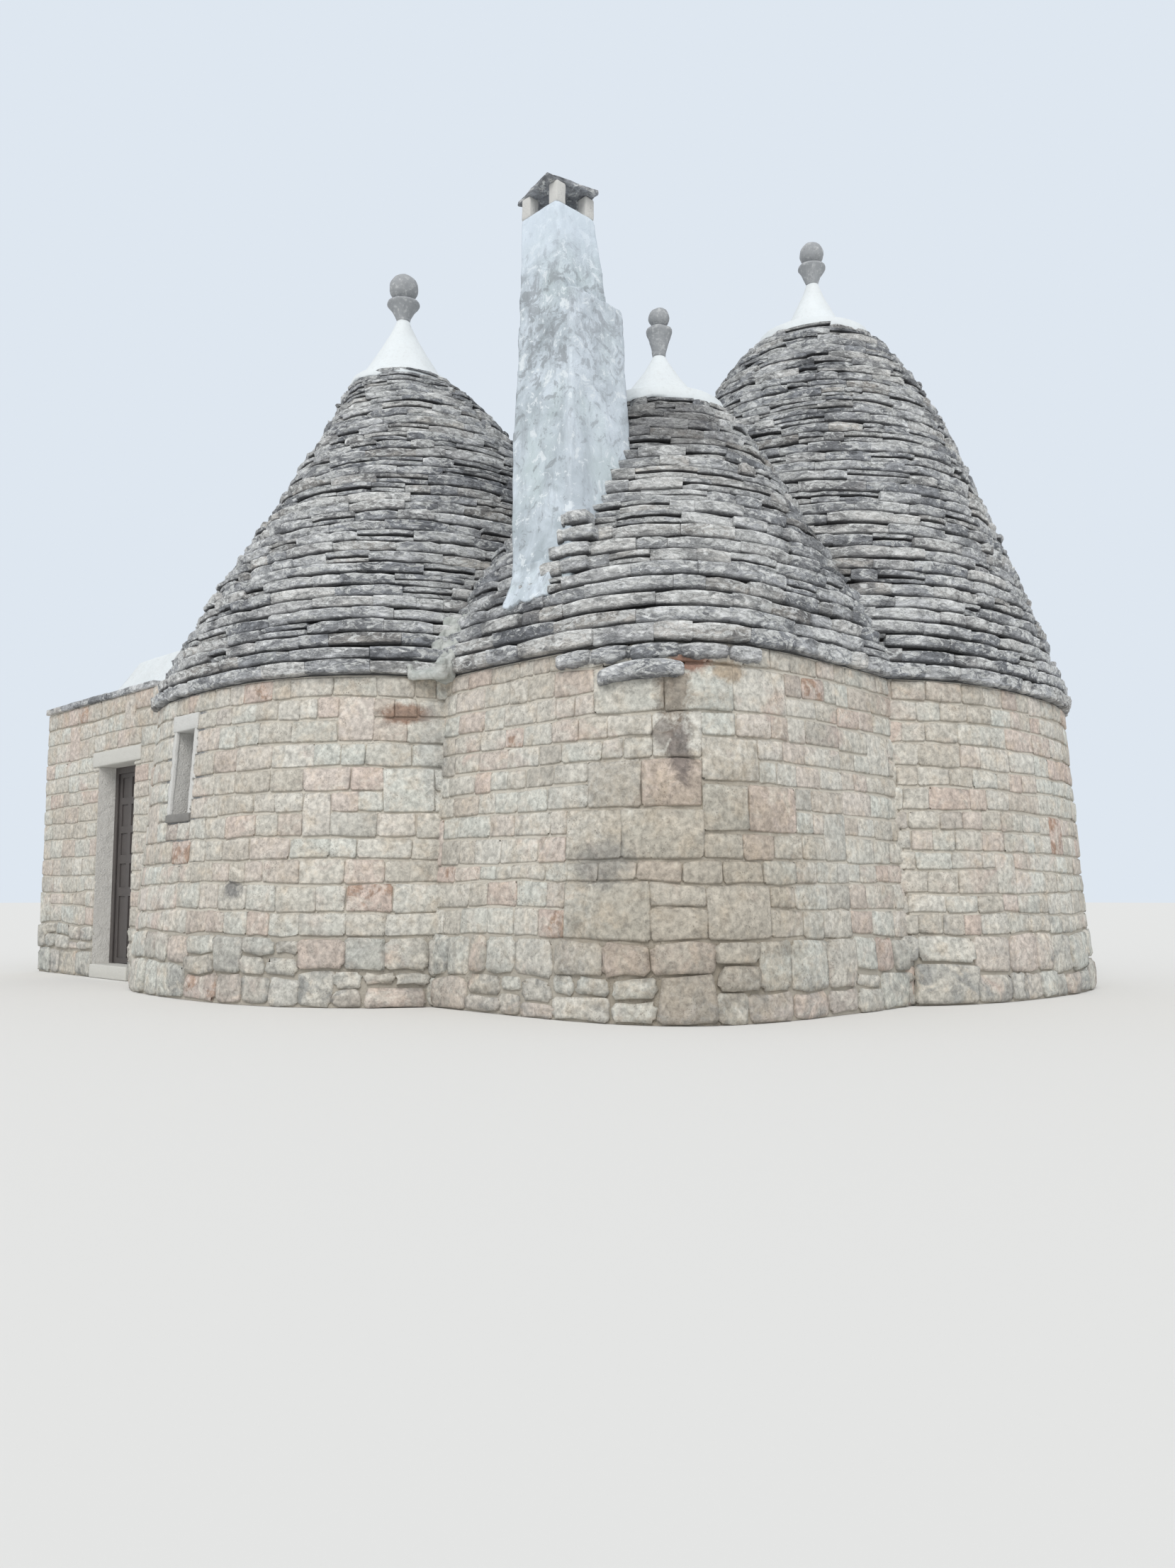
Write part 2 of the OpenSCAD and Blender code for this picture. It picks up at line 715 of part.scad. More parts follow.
module chimney_stack() {
  color("Snow") place() difference() {
    translate([chimney_at.x, chimney_at.y, 0]) {
      translate([0, 0, wall_h]) linear_extrude(height = foot_top - wall_h) square(stack_side, center = true);
      translate([0, 0, foot_top]) frustum(stack_side, stack_top_side, shoulder_z - foot_top);
    }
    flue_shaft(wall_h - 1, shoulder_z + 1);
  }
}

module chimney_upper() {
  color("White") place() difference() {
    translate([upper_corner.x, upper_corner.y, shoulder_z])
      linear_extrude(height = upper_top - shoulder_z, scale = upper_top_side / upper_side) square(upper_side);
    flue_shaft(shoulder_z - 1, upper_top + 1);
  }
}

module chimney_posts() {
  reach = upper_top_side - post_side;
  color("White") place() translate([upper_corner.x, upper_corner.y, upper_top])
    for (x = [0, reach], y = [0, reach]) translate([x, y, 0]) cube([post_side, post_side, post_h]);
}

module chimney_cap() {
  color("Gray") place() translate([lantern_at.x, lantern_at.y, upper_top + post_h]) rotate([0, 0, cap_turn])
    translate([-cap_side / 2, -cap_side / 2, 0]) cube([cap_side, cap_side, cap_t]);
}

stone_floor();
main_front_wall();
main_left_wall();
main_back_wall();
main_right_wall();
hearth_front_wall();
hearth_right_wall();
hearth_back_wall();
rear_front_wall();
rear_left_wall();
rear_right_wall();
rear_back_wall();
wing_front_wall_left();
wing_front_wall_right();
wing_wall_over_door();
wing_end_wall();
wing_back_wall();
wing_slab();
wing_hip();
wing_parapet();
wing_coping();
door_lintel();
door_threshold();
door_frame();
door_pins();
door_leaf();
door_straps();
door_latch();
window_lintel();
window_sill();
window_frame();
window_glass();
main_roof_lower();
main_roof_upper();
hearth_roof();
rear_roof_lower();
rear_roof_upper();
corner_eave_slabs();
valley_gutter();
main_white_tip();
hearth_white_tip();
rear_white_tip();
main_pinnacle();
hearth_pinnacle();
rear_pinnacle();
chimney_stack();
chimney_upper();
chimney_posts();
chimney_cap();
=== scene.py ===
import bisect
import math
import random

import bmesh
import bpy
from mathutils import Matrix, Vector, noise


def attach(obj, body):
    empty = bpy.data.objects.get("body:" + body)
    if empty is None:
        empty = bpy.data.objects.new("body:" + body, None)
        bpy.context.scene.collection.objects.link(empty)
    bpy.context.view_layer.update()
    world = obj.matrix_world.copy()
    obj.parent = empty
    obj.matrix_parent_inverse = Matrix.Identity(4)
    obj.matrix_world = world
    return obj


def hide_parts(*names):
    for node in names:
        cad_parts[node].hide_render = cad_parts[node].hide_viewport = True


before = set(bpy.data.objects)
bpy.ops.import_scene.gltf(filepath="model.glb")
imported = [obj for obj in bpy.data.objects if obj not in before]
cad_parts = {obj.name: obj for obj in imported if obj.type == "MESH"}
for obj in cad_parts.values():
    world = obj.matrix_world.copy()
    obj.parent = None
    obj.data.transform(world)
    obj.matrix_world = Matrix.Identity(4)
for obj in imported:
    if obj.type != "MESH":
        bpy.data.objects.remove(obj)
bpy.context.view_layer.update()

# The walls are two faces of squared limestone with rubble between them. The stones are laid
# in rough courses, larger and greyer at the foot, and they stand a little proud of the joints.
# Their plan is a rounded square that leans in towards the top.
wall_top = 2.79
batter = 0.17
# Each room: middle, half of the width at the wall top, and how square its plan is
rooms = {"main": ((-0.285, -1.6), 2.34, 2.6),
         "hearth": ((2.775, -0.966), 1.85, 3.6),
         "rear": ((2.765, 1.64), 2.3, 2.6)}
wing_end, wing_front, wing_back = -5.235, -3.47, -0.1
wing_low, wing_high = Vector((wing_end, wing_front)), Vector((-2.0, wing_back))


def reach(angle, square):
    """Distance from the middle to the edge of a rounded square with half side 1."""
    return (abs(math.cos(angle)) ** square + abs(math.sin(angle)) ** square) ** (-1 / square)


def around(middle, radius, angle, z):
    return Vector((middle[0] + radius * math.cos(angle), middle[1] + radius * math.sin(angle), z))


def depth_in(room, x, y, z):
    """How far a point stands inside a room's outer wall face, at the room's own scale."""
    middle, half, square = rooms[room]
    dx, dy = x - middle[0], y - middle[1]
    face = (half + batter * (1 - z / wall_top)) * reach(math.atan2(dy, dx), square)
    return face - math.hypot(dx, dy)


def in_wing(x, y):
    return wing_low.x < x < wing_high.x and wing_low.y < y < wing_high.y


class RoundWall:
    """The outer face of one room: distances along it turn into angles round its middle."""

    def __init__(self, room):
        self.room = room
        self.middle, self.half, self.square = rooms[room]
        steps = 720
        self.angles = [2 * math.pi * i / steps for i in range(steps + 1)]
        self.along = [0.0]
        size = self.half + batter / 2
        for a, b in zip(self.angles, self.angles[1:]):
            ra, rb = size * reach(a, self.square), size * reach(b, self.square)
            dx, dy = ra * math.cos(a) - rb * math.cos(b), ra * math.sin(a) - rb * math.sin(b)
            self.along.append(self.along[-1] + math.hypot(dx, dy))
        self.length = self.along[-1]

    def angle(self, s):
        s = s % self.length
        low = bisect.bisect_right(self.along, s) - 1
        share = (s - self.along[low]) / (self.along[low + 1] - self.along[low])
        return self.angles[low] + share * (self.angles[low + 1] - self.angles[low])

    def distance(self, angle):
        return self.along[round(angle % (2 * math.pi) / (2 * math.pi) * (len(self.along) - 1))]

    def point(self, s, z, proud):
        angle = self.angle(s)
        size = (self.half + batter * (1 - z / wall_top) + proud) * reach(angle, self.square)
        return around(self.middle, size, angle, z)

    def shows(self, s, z):
        p = self.point(s, z, 0.01)
        if any(depth_in(r, p.x, p.y, z) > 0 for r in rooms if r != self.room):
            return False
        return not (self.room == "main" and in_wing(p.x, p.y))


class FlatWall:
    """A straight upright wall face from one corner to another, seen with its outside to the right."""

    def __init__(self, start, end):
        self.start = Vector(start)
        self.run = Vector(end) - self.start
        self.length = self.run.length
        self.run.normalize()
        self.out = Vector((self.run.y, -self.run.x))

    def point(self, s, z, proud):
        return (self.start + self.run * s + self.out * proud).to_3d() + Vector((0, 0, z))

    def shows(self, s, z):
        p = self.point(s, z, 0.0)
        return depth_in("main", p.x, p.y, z) < 0


def wander(x, y, z):
    return noise.noise(Vector((x, y, z)))


def points_of(made):
    return [g for g in made if isinstance(g, bmesh.types.BMVert)]


def into_mesh(name, bm):
    mesh = bpy.data.meshes.new(name)
    bm.to_mesh(mesh)
    bm.free()
    return mesh


def link(name, data):
    made = bpy.data.objects.new(name, data)
    bpy.context.scene.collection.objects.link(made)
    return made


def thicken(bm, way, close=True):
    """Runs the open rim of a sheet back by one way, and closes it there."""
    rim = [e for e in bm.edges if e.is_boundary]
    back = bmesh.ops.extrude_edge_only(bm, edges=rim)["geom"]
    bmesh.ops.translate(bm, verts=points_of(back), vec=way)
    if close:
        bmesh.ops.contextual_create(bm, geom=[g for g in back if isinstance(g, bmesh.types.BMEdge)])
    bmesh.ops.recalc_face_normals(bm, faces=bm.faces)


def stone_pattern():
    """A stone's front, five points each way, with its sides run back and its back closed."""
    bm = bmesh.new()
    bmesh.ops.create_grid(bm, x_segments=4, y_segments=4, size=2)
    bmesh.ops.translate(bm, verts=bm.verts, vec=(2, 2, 1))
    thicken(bm, (0, 0, -1))
    return into_mesh("stone_pattern", bm)


def add_copy(bm, pattern, place, shade, colour):
    """Adds one copy of a pattern, with every point put in its place and marked with a colour."""
    first = len(bm.verts)
    bm.from_mesh(pattern)
    bm.verts.ensure_lookup_table()
    for vert in bm.verts[first:]:
        vert[shade] = colour(vert.co)
        vert.co = place(vert.co)


def start_piece(marks):
    """An empty piece, and the colour layer that its material reads."""
    bm = bmesh.new()
    return bm, bm.verts.layers.float_color.new(marks)


def new_piece(name, bm, smooth=True):
    """Closes a bmesh into a piece of the house that takes a finish."""
    if smooth:
        for face in bm.faces:
            face.smooth = True
    piece = link(name, into_mesh(name, bm))
    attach(piece, "house")
    return piece


def free_stretches(start, end, blocked):
    shortest = 0.03
    here = start
    for low, high in sorted(blocked):
        if low > here + shortest:
            yield here, min(low, end)
        here = max(here, high)
    if here < end - shortest:
        yield here, end


stones = stone_pattern()
bed_joint, end_joint, jamb_joint = 0.005, 0.002, 0.004
stone_back = 0.045
foot_top = 0.58
course_heights = (0.165, 0.225)
# The length of a stone, in heights of its course, and the shortest one that ends a course
stone_lengths = (1.0, 2.3)
shortest_stone = 0.13
jamb_stone = 0.3


def lay_stones(bm, shade, rng, wall, top, holes=(), big=None):
    """Lays a foot of rubble and courses of stones over it, round the openings in a wall face."""
    seed = rng.uniform(0, 100)
    jambs = [e for hole in holes for e in hole[:2]]
    tops = [0.0, foot_top]
    while tops[-1] < top - 0.1:
        tops.append(tops[-1] + rng.uniform(*course_heights))
    stretch = (top - foot_top) / (tops[-1] - foot_top)
    tops = [0.0] + [foot_top + (t - foot_top) * stretch for t in tops[1:]]

    def bent(s, z):
        """The height of a rubble joint, which wanders, and lies flat on the ground."""
        free = min(1, z / 0.25)
        return z + free * (0.05 * wander(s * 1.1, z * 2, seed) + 0.02 * wander(s * 4, z * 5, seed))

    def level(k, s):
        if k == 0 or k == len(tops) - 1:
            return tops[k]
        if k == 1:
            return bent(s, foot_top)
        bend = 0.022 * wander(s * 0.7, k * 2.3, seed) + 0.011 * wander(s * 3.1, k * 5.1, seed)
        return tops[k] + bend * (1.8 if k < 4 else 1)

    def stone(a, b, z_low, z_high, foot):
        """One stone between two ends and two joints, with an uneven front and worn corners."""
        wide, middle = b - a, (a + b) / 2
        mid_z = (z_low(middle) + z_high(middle)) / 2
        corners = [(s, mid_z + dz) for dz in (-0.06, 0.06) for s in (a, b)]
        if not any(wall.shows(s, max(0, z)) for s, z in corners):
            return
        rough = 2.2 if foot else 1.0
        leans = [rng.uniform(-0.014, 0.014) * rough * min(1, wide / 0.3) for _ in range(2)]
        chord = (wall.point(a, mid_z, 0) + wall.point(b, mid_z, 0)) / 2
        bulge = (wall.point(middle, mid_z, 0) - chord).length
        front = rng.uniform(0.007, 0.017) + (rng.uniform(0.0, 0.028) if foot else 0) + 0.35 * bulge
        tall = z_high(middle) - z_low(middle)
        edge = min(0.018 * rough, wide / 4, tall / 4)
        across = [0, edge, wide * rng.uniform(0.35, 0.65), wide - edge, wide]
        up = [0, edge / tall, rng.uniform(0.35, 0.65), 1 - edge / tall, 1]
        tilt, bow = rng.uniform(-0.007, 0.007) * rough, rng.uniform(0.0, 0.009) * rough
        loose = rng.uniform(0.0, 0.008) if foot else 0.0
        sag_low, sag_high = rng.uniform(0, 0.01) + loose, rng.uniform(0, 0.007) + loose
        slim = min(1, wide / 0.3, tall / 0.15)
        at_jamb = [any(abs(end - e) < 0.01 for e in jambs) for end in (a, b)]
        wear = 0.03 if foot else 0.02
        worn = [[rng.uniform(0.002, wear) * slim ** 2 * (0.1 if square else 1) + loose for _ in range(2)]
                for square in at_jamb]
        lean_a, lean_b = (0 if square else lean for lean, square in zip(leans, at_jamb))
        set_in = [jamb_joint if square else end_joint + loose for square in at_jamb]
        flush = rng.uniform(0.4, 0.95)
        head_out, foot_out = (0.6, 0.7) if foot else (0.25, 0.5)

        def place(p):
            i, j = round(p.x), round(p.y)
            v = up[j]
            side = 1 if i == 0 else -1 if i == 4 else 0
            upright = 1 if j == 0 else -1 if j == 4 else 0
            s = a + across[i] + lean_a * v * (1 - i / 4) + lean_b * v * i / 4 + side * set_in[i // 4]
            bottom, head = z_low(s) + bed_joint + sag_low, z_high(s) - bed_joint - sag_high
            z = bottom + (head - bottom) * v
            if side and upright:
                s += side * worn[i // 4][j // 4]
                z += upright * worn[i // 4][j // 4] * 0.7
            if p.z < 0.5:
                return wall.point(s, z, -stone_back)
            shake = rng.uniform(-0.006, 0.006) * rough
            if side or upright:
                s += 0 if upright else shake
                z += 0 if side else shake
                out = front * (flush if side else foot_out if j == 0 else head_out)
            else:
                out = front + tilt * (i - 2) / 2 + (bow if i == 2 and j == 2 else 0) + shake
            return wall.point(s, max(0.0, z), out)

        def mark(p):
            """Tone, warmth, greyness, and a low number along the lower edge and the back, where shade is painted
            into the bed joint.
            """
            shaded = p.y < 0.5 or p.z < 0.5
            return (*tone, (0.3 if foot else 0.0) if shaded else 1.0)

        tone = (rng.random(), rng.random(), rng.random() * (1.0 if foot else 0.8))
        add_copy(bm, stones, place, shade, mark)

    def rubble(a, b, low, high):
        """Splits a stretch of the foot into rough blocks of all sizes."""
        wide, tall = b - a, high - low
        long_low = wide > 0.62 or wide > 0.45 and wide > tall * 1.5 and rng.random() < 0.6
        if wide > 1.6 or tall < 0.42 and long_low:
            cut = a + wide * rng.uniform(0.35, 0.65)
            rubble(a, cut, low, high)
            rubble(cut, b, low, high)
        elif tall > 0.42 or tall > 0.29 and rng.random() < 0.4:
            cut = low + tall * rng.uniform(0.38, 0.62)
            rubble(a, b, low, cut)
            rubble(a, b, cut, high)
        elif wide > 0.75:
            rubble(a, (a + b) / 2, low, high)
            rubble((a + b) / 2, b, low, high)
        else:
            stone(a, b, lambda s: bent(s, low), lambda s: bent(s, high), True)

    at_foot = [(a, b) for a, b, lo, hi in holes if lo < foot_top - 0.02]
    for start, end in free_stretches(0, wall.length, at_foot):
        rubble(start, end, 0.0, foot_top)
    taken = [[] for _ in tops]
    for k in range(1, len(tops) - 1):
        z0, z1 = tops[k], tops[k + 1]
        blocked = taken[k] + [(a, b) for a, b, lo, hi in holes if lo < z1 - 0.02 and hi > z0 + 0.02]
        for start, end in free_stretches(0, wall.length, blocked):
            s = start
            while s < end - 0.01:
                run = (z1 - z0) * rng.uniform(*stone_lengths)
                if end - s - run < shortest_stone:
                    run = end - s
                rows = 1
                share = big(s, z0) if big else 0.03
                if rng.random() < share and k + 2 < len(tops) and run > 0.2:
                    run = min(run * (1.5 if big else 1.1), end - s)
                    if end - s - run < shortest_stone:
                        run = end - s
                    if all(s > b or s + run < a or tops[k + 2] < lo or z0 > hi for a, b, lo, hi in holes):
                        rows = 2
                        taken[k + 1].append((s, s + run))
                stone(s, s + run, lambda q: level(k, q), lambda q: level(k + rows, q), False)
                s += run
        for a, b, lo, hi in holes:
            parts = []
            if z0 < lo < z1 and lo - z0 > 0.05:
                parts.append(((z0 + lo) / 2, lambda q: level(k, q), lambda q: lo))
            if z0 < hi < z1 and z1 - hi > 0.05:
                parts.append(((hi + z1) / 2, lambda q: hi, lambda q: level(k + 1, q)))
            for mid, z_low, z_high in parts:
                others = [(c, d) for c, d, low, high in holes if low < mid < high]
                for start, end in free_stretches(a, b, others):
                    count = max(1, round((end - start) / jamb_stone))
                    step = (end - start) / count
                    for c in range(count):
                        stone(start + step * c, start + step * (c + 1), z_low, z_high, False)


window_middle, window_half = -0.52, 0.1885
window_low, window_high = 1.67, 2.46

rng = random.Random(11)
bm, shade = start_piece("stone")
main_wall = RoundWall("main")
window_s = main_wall.distance(math.atan2(-2.4, window_middle - main_wall.middle[0]))
window_hole = (window_s - window_half - 0.05, window_s + window_half + 0.05,
               window_low - 0.075, window_high + 0.15)
lay_stones(bm, shade, rng, main_wall, wall_top, holes=[window_hole])
main_stones = new_piece("main_wall_stones", bm)

hearth_wall = RoundWall("hearth")
corner_from, corner_to = (hearth_wall.distance(math.radians(turn)) for turn in (-72, -28))


def corner_share(s, z):
    """The hearth room's front corner is built of much larger stones."""
    return 0.3 if corner_from < s < corner_to and z < 2.3 else 0.03


rng = random.Random(23)
bm, shade = start_piece("stone")
lay_stones(bm, shade, rng, hearth_wall, wall_top, big=corner_share)
hearth_stones = new_piece("hearth_wall_stones", bm)

rng = random.Random(31)
bm, shade = start_piece("stone")
lay_stones(bm, shade, rng, RoundWall("rear"), wall_top)
rear_stones = new_piece("rear_wall_stones", bm)


class Nodes:
    """The nodes of one shader tree. Every input takes a socket, a number or a colour."""

    def __init__(self, tree):
        self.tree = tree

    def feed(self, socket, value):
        if isinstance(value, bpy.types.NodeSocket):
            self.tree.links.new(value, socket)
        else:
            socket.default_value = (*value, 1) if socket.type == "RGBA" else value

    def add(self, kind, settings=None, **values):
        """Makes a node with its settings, feeds its inputs by name, and gives its outputs."""
        made = self.tree.nodes.new("ShaderNode" + kind)
        for key, value in (settings or {}).items():
            setattr(made, key, value)
        for key, value in values.items():
            self.feed(made.inputs[key.replace("_", " ")], value)
        return made.outputs

    def mix(self, share, a, b, blend="MIX"):
        made = self.tree.nodes.new("ShaderNodeMix")
        made.data_type, made.blend_type = "RGBA", blend
        for index, value in ((0, share), (6, a), (7, b)):
            self.feed(made.inputs[index], value)
        return made.outputs[2]

    def math(self, what, a, b, clamp=False):
        made = self.tree.nodes.new("ShaderNodeMath")
        made.operation, made.use_clamp = what, clamp
        for socket, value in zip(made.inputs, (a, b)):
            self.feed(socket, value)
        return made.outputs[0]

    def vector(self, what, a, b):
        made = self.tree.nodes.new("ShaderNodeVectorMath")
        made.operation = what
        for socket, value in zip(made.inputs, (a, b)):
            self.feed(socket, value)
        return made.outputs["Value" if what == "DOT_PRODUCT" else "Vector"]

    def plus(self, a, b):
        return self.math("ADD", a, b)

    def minus(self, a, b):
        return self.math("SUBTRACT", a, b)

    def times(self, a, b, clamp=False):
        return self.math("MULTIPLY", a, b, clamp)

    def larger(self, a, b):
        return self.math("MAXIMUM", a, b)

    def spread(self, value, low, high, to_low=0.0, to_high=1.0):
        """Stretches a value between two limits, and holds it there."""
        return self.add("MapRange", Value=value, From_Min=low, From_Max=high, To_Min=to_low, To_Max=to_high)[0]

    def noise(self, vector, scale, detail=4.0, roughness=0.6, distortion=0.0):
        return self.add("TexNoise", Vector=vector, Scale=scale, Detail=detail, Roughness=roughness,
                        Distortion=distortion)[0]

    def use(self, group, **values):
        return self.add("Group", {"node_tree": group.tree}, **values)


class Group(Nodes):
    """Nodes that several materials share. Each input is a Float or a Vector."""

    def __init__(self, name, **inputs):
        super().__init__(bpy.data.node_groups.new(name, "ShaderNodeTree"))
        for label, kind in inputs.items():
            self.tree.interface.new_socket(name=label, in_out="INPUT", socket_type="NodeSocket" + kind)
        self.taken = self.tree.nodes.new("NodeGroupInput").outputs

    def give(self, **values):
        for label in values:
            kind = "NodeSocketColor" if label == "Colour" else "NodeSocketFloat"
            self.tree.interface.new_socket(name=label, in_out="OUTPUT", socket_type=kind)
        given = self.tree.nodes.new("NodeGroupOutput").inputs
        for label, value in values.items():
            self.feed(given[label], value)


# Limestone grain: soft mottling, small pits, and the height of its surface
grain = Group("limestone_grain", Vector="Vector", Scale="Float")
scaled = grain.add("VectorMath", {"operation": "SCALE"}, Vector=grain.taken["Vector"],
                   Scale=grain.taken["Scale"])[0]
broad = grain.noise(scaled, 5.0, 6.0, 0.62)
fine = grain.noise(scaled, 38.0, 5.0, 0.65)
cells = grain.add("TexVoronoi", Vector=scaled, Scale=46.0)[0]
pits = grain.times(grain.spread(cells, 0.32, 0.12), grain.spread(broad, 0.48, 0.62))
surface = grain.plus(broad, grain.times(fine, 0.45))
grain.give(Mottle=grain.plus(grain.times(broad, 0.65), grain.times(fine, 0.35)), Pits=pits,
           Height=grain.minus(surface, grain.times(pits, 0.35)))

# Faces that look back at the middle of a room or a dome, which are its inside
inner = Group("inner_side", Middle="Vector")
where = inner.add("NewGeometry")
offset = inner.vector("SUBTRACT", where["Position"], inner.taken["Middle"])
facing = inner.vector("DOT_PRODUCT", inner.vector("MULTIPLY", offset, (1, 1, 0)), where["True Normal"])
inner.give(Inside=inner.spread(facing, -0.01, -0.03))

# A stain round one place, with a ragged edge
spot = Group("wall_stain", Vector="Vector", Place="Vector", Size="Vector")
offset = spot.vector("SUBTRACT", spot.taken["Vector"], spot.taken["Place"])
offset = spot.vector("DIVIDE", offset, spot.taken["Size"])
away = spot.add("VectorMath", {"operation": "LENGTH"}, Vector=offset)["Value"]
ragged = spot.times(spot.noise(spot.taken["Vector"], 9.0, 6.0, 0.7, 0.8), 1.7)
spot.give(Mask=spot.spread(spot.plus(away, ragged), 1.95, 1.5))


class Finish(Nodes):
    """A material in the making, whose colour is laid on coat by coat."""

    def __init__(self, name, roughness=0.9):
        self.material = bpy.data.materials.new(name)
        self.material.use_nodes = True
        super().__init__(self.material.node_tree)
        self.shader = next(n for n in self.tree.nodes if n.type == "BSDF_PRINCIPLED").inputs
        self.shader["Roughness"].default_value = roughness
        self.coords = self.tree.nodes.new("ShaderNodeTexCoord").outputs["Object"]

    def axis(self, index):
        return self.add("SeparateXYZ", Vector=self.coords)[index]

    def clouds(self, *amounts):
        return self.noise(self.coords, *amounts)

    def grain(self, scale):
        return self.use(grain, Vector=self.coords, Scale=scale)

    def coat(self, share, tint, blend="MIX"):
        """Lays a colour over what is there, by a share."""
        self.colour = self.mix(share, self.colour, tint, blend)

    def shade(self, amount):
        self.coat(1.0, amount, "MULTIPLY")

    def stain(self, *marks):
        for at, size, tint, cover in marks:
            mask = self.use(spot, Vector=self.coords, Place=at, Size=size)["Mask"]
            self.coat(self.times(mask, cover), tint)

    def done(self, height=None, depth=0.0):
        """Joins the colour to the shader, and the relief of the surface if it has one."""
        self.feed(self.shader["Base Color"], self.colour)
        if height is not None:
            self.feed(self.shader["Normal"], self.add("Bump", Height=height, Distance=depth, Strength=1.0)[0])
        return self.material


def mottled_material(name, dark, light, scale, depth, pitted=None):
    """Plain stone or plaster in two tones, with darker pits."""
    m = Finish(name)
    texture = m.grain(scale)
    m.colour = m.mix(texture["Mottle"], dark, light)
    if pitted:
        m.coat(m.times(texture["Pits"], pitted[0]), pitted[1])
    return m.done(texture["Height"], depth)


def core_material(name, middle, scale, outside, inside, foot=None, marks=()):
    """Joints or rubble on a core's outside, lime wash or bare corbels on its inside."""
    m = Finish(name)
    texture = m.grain(scale)
    m.colour = m.mix(texture["Mottle"], *outside)
    if foot:
        m.coat(m.spread(m.axis(2), 0.75, 0.5, 0, 0.7), foot)
    m.stain(*marks)
    m.coat(m.use(inner, Middle=middle)["Inside"], m.mix(texture["Mottle"], *inside))
    return m.done(texture["Height"], 0.02)


def wall_core_material(name, middle, marks=()):
    return core_material(name, middle, 1.6, ((0.56, 0.52, 0.45), (0.74, 0.70, 0.62)),
                         ((0.72, 0.70, 0.66), (0.84, 0.83, 0.80)), (0.36, 0.33, 0.28), marks)


# Each stain: place, size, colour, and how strongly it covers the stone
stains = [((4.40, -2.42, 0.95), (1.1, 1.1, 1.2), (0.30, 0.25, 0.185), 0.48),
          ((4.33, -2.53, 1.95), (0.10, 0.10, 0.30), (0.135, 0.115, 0.107), 0.8),
          ((4.24, -2.61, 2.10), (0.09, 0.09, 0.16), (0.17, 0.145, 0.13), 0.65),
          ((4.30, -2.56, 2.40), (0.15, 0.15, 0.26), (0.2, 0.155, 0.115), 0.7),
          ((4.38, -2.44, 2.64), (0.16, 0.16, 0.10), (0.25, 0.125, 0.085), 0.85),
          ((4.52, -2.20, 2.58), (0.14, 0.18, 0.09), (0.3, 0.21, 0.125), 0.6),
          ((1.76, -3.10, 2.46), (0.26, 0.26, 0.10), (0.24, 0.14, 0.095), 0.8),
          ((1.90, -2.92, 2.15), (0.13, 0.13, 0.5), (0.4, 0.405, 0.39), 0.5),
          ((0.5, -3.9, 0.95), (0.16, 0.2, 0.12), (0.15, 0.15, 0.15), 0.8),
          ((3.85, -2.85, 1.15), (0.26, 0.26, 0.2), (0.22, 0.22, 0.21), 0.6)]
reveal_wash = ((-0.52, -3.7, 2.07), (0.5, 1.6, 0.95), (0.235, 0.245, 0.255), 1.0)


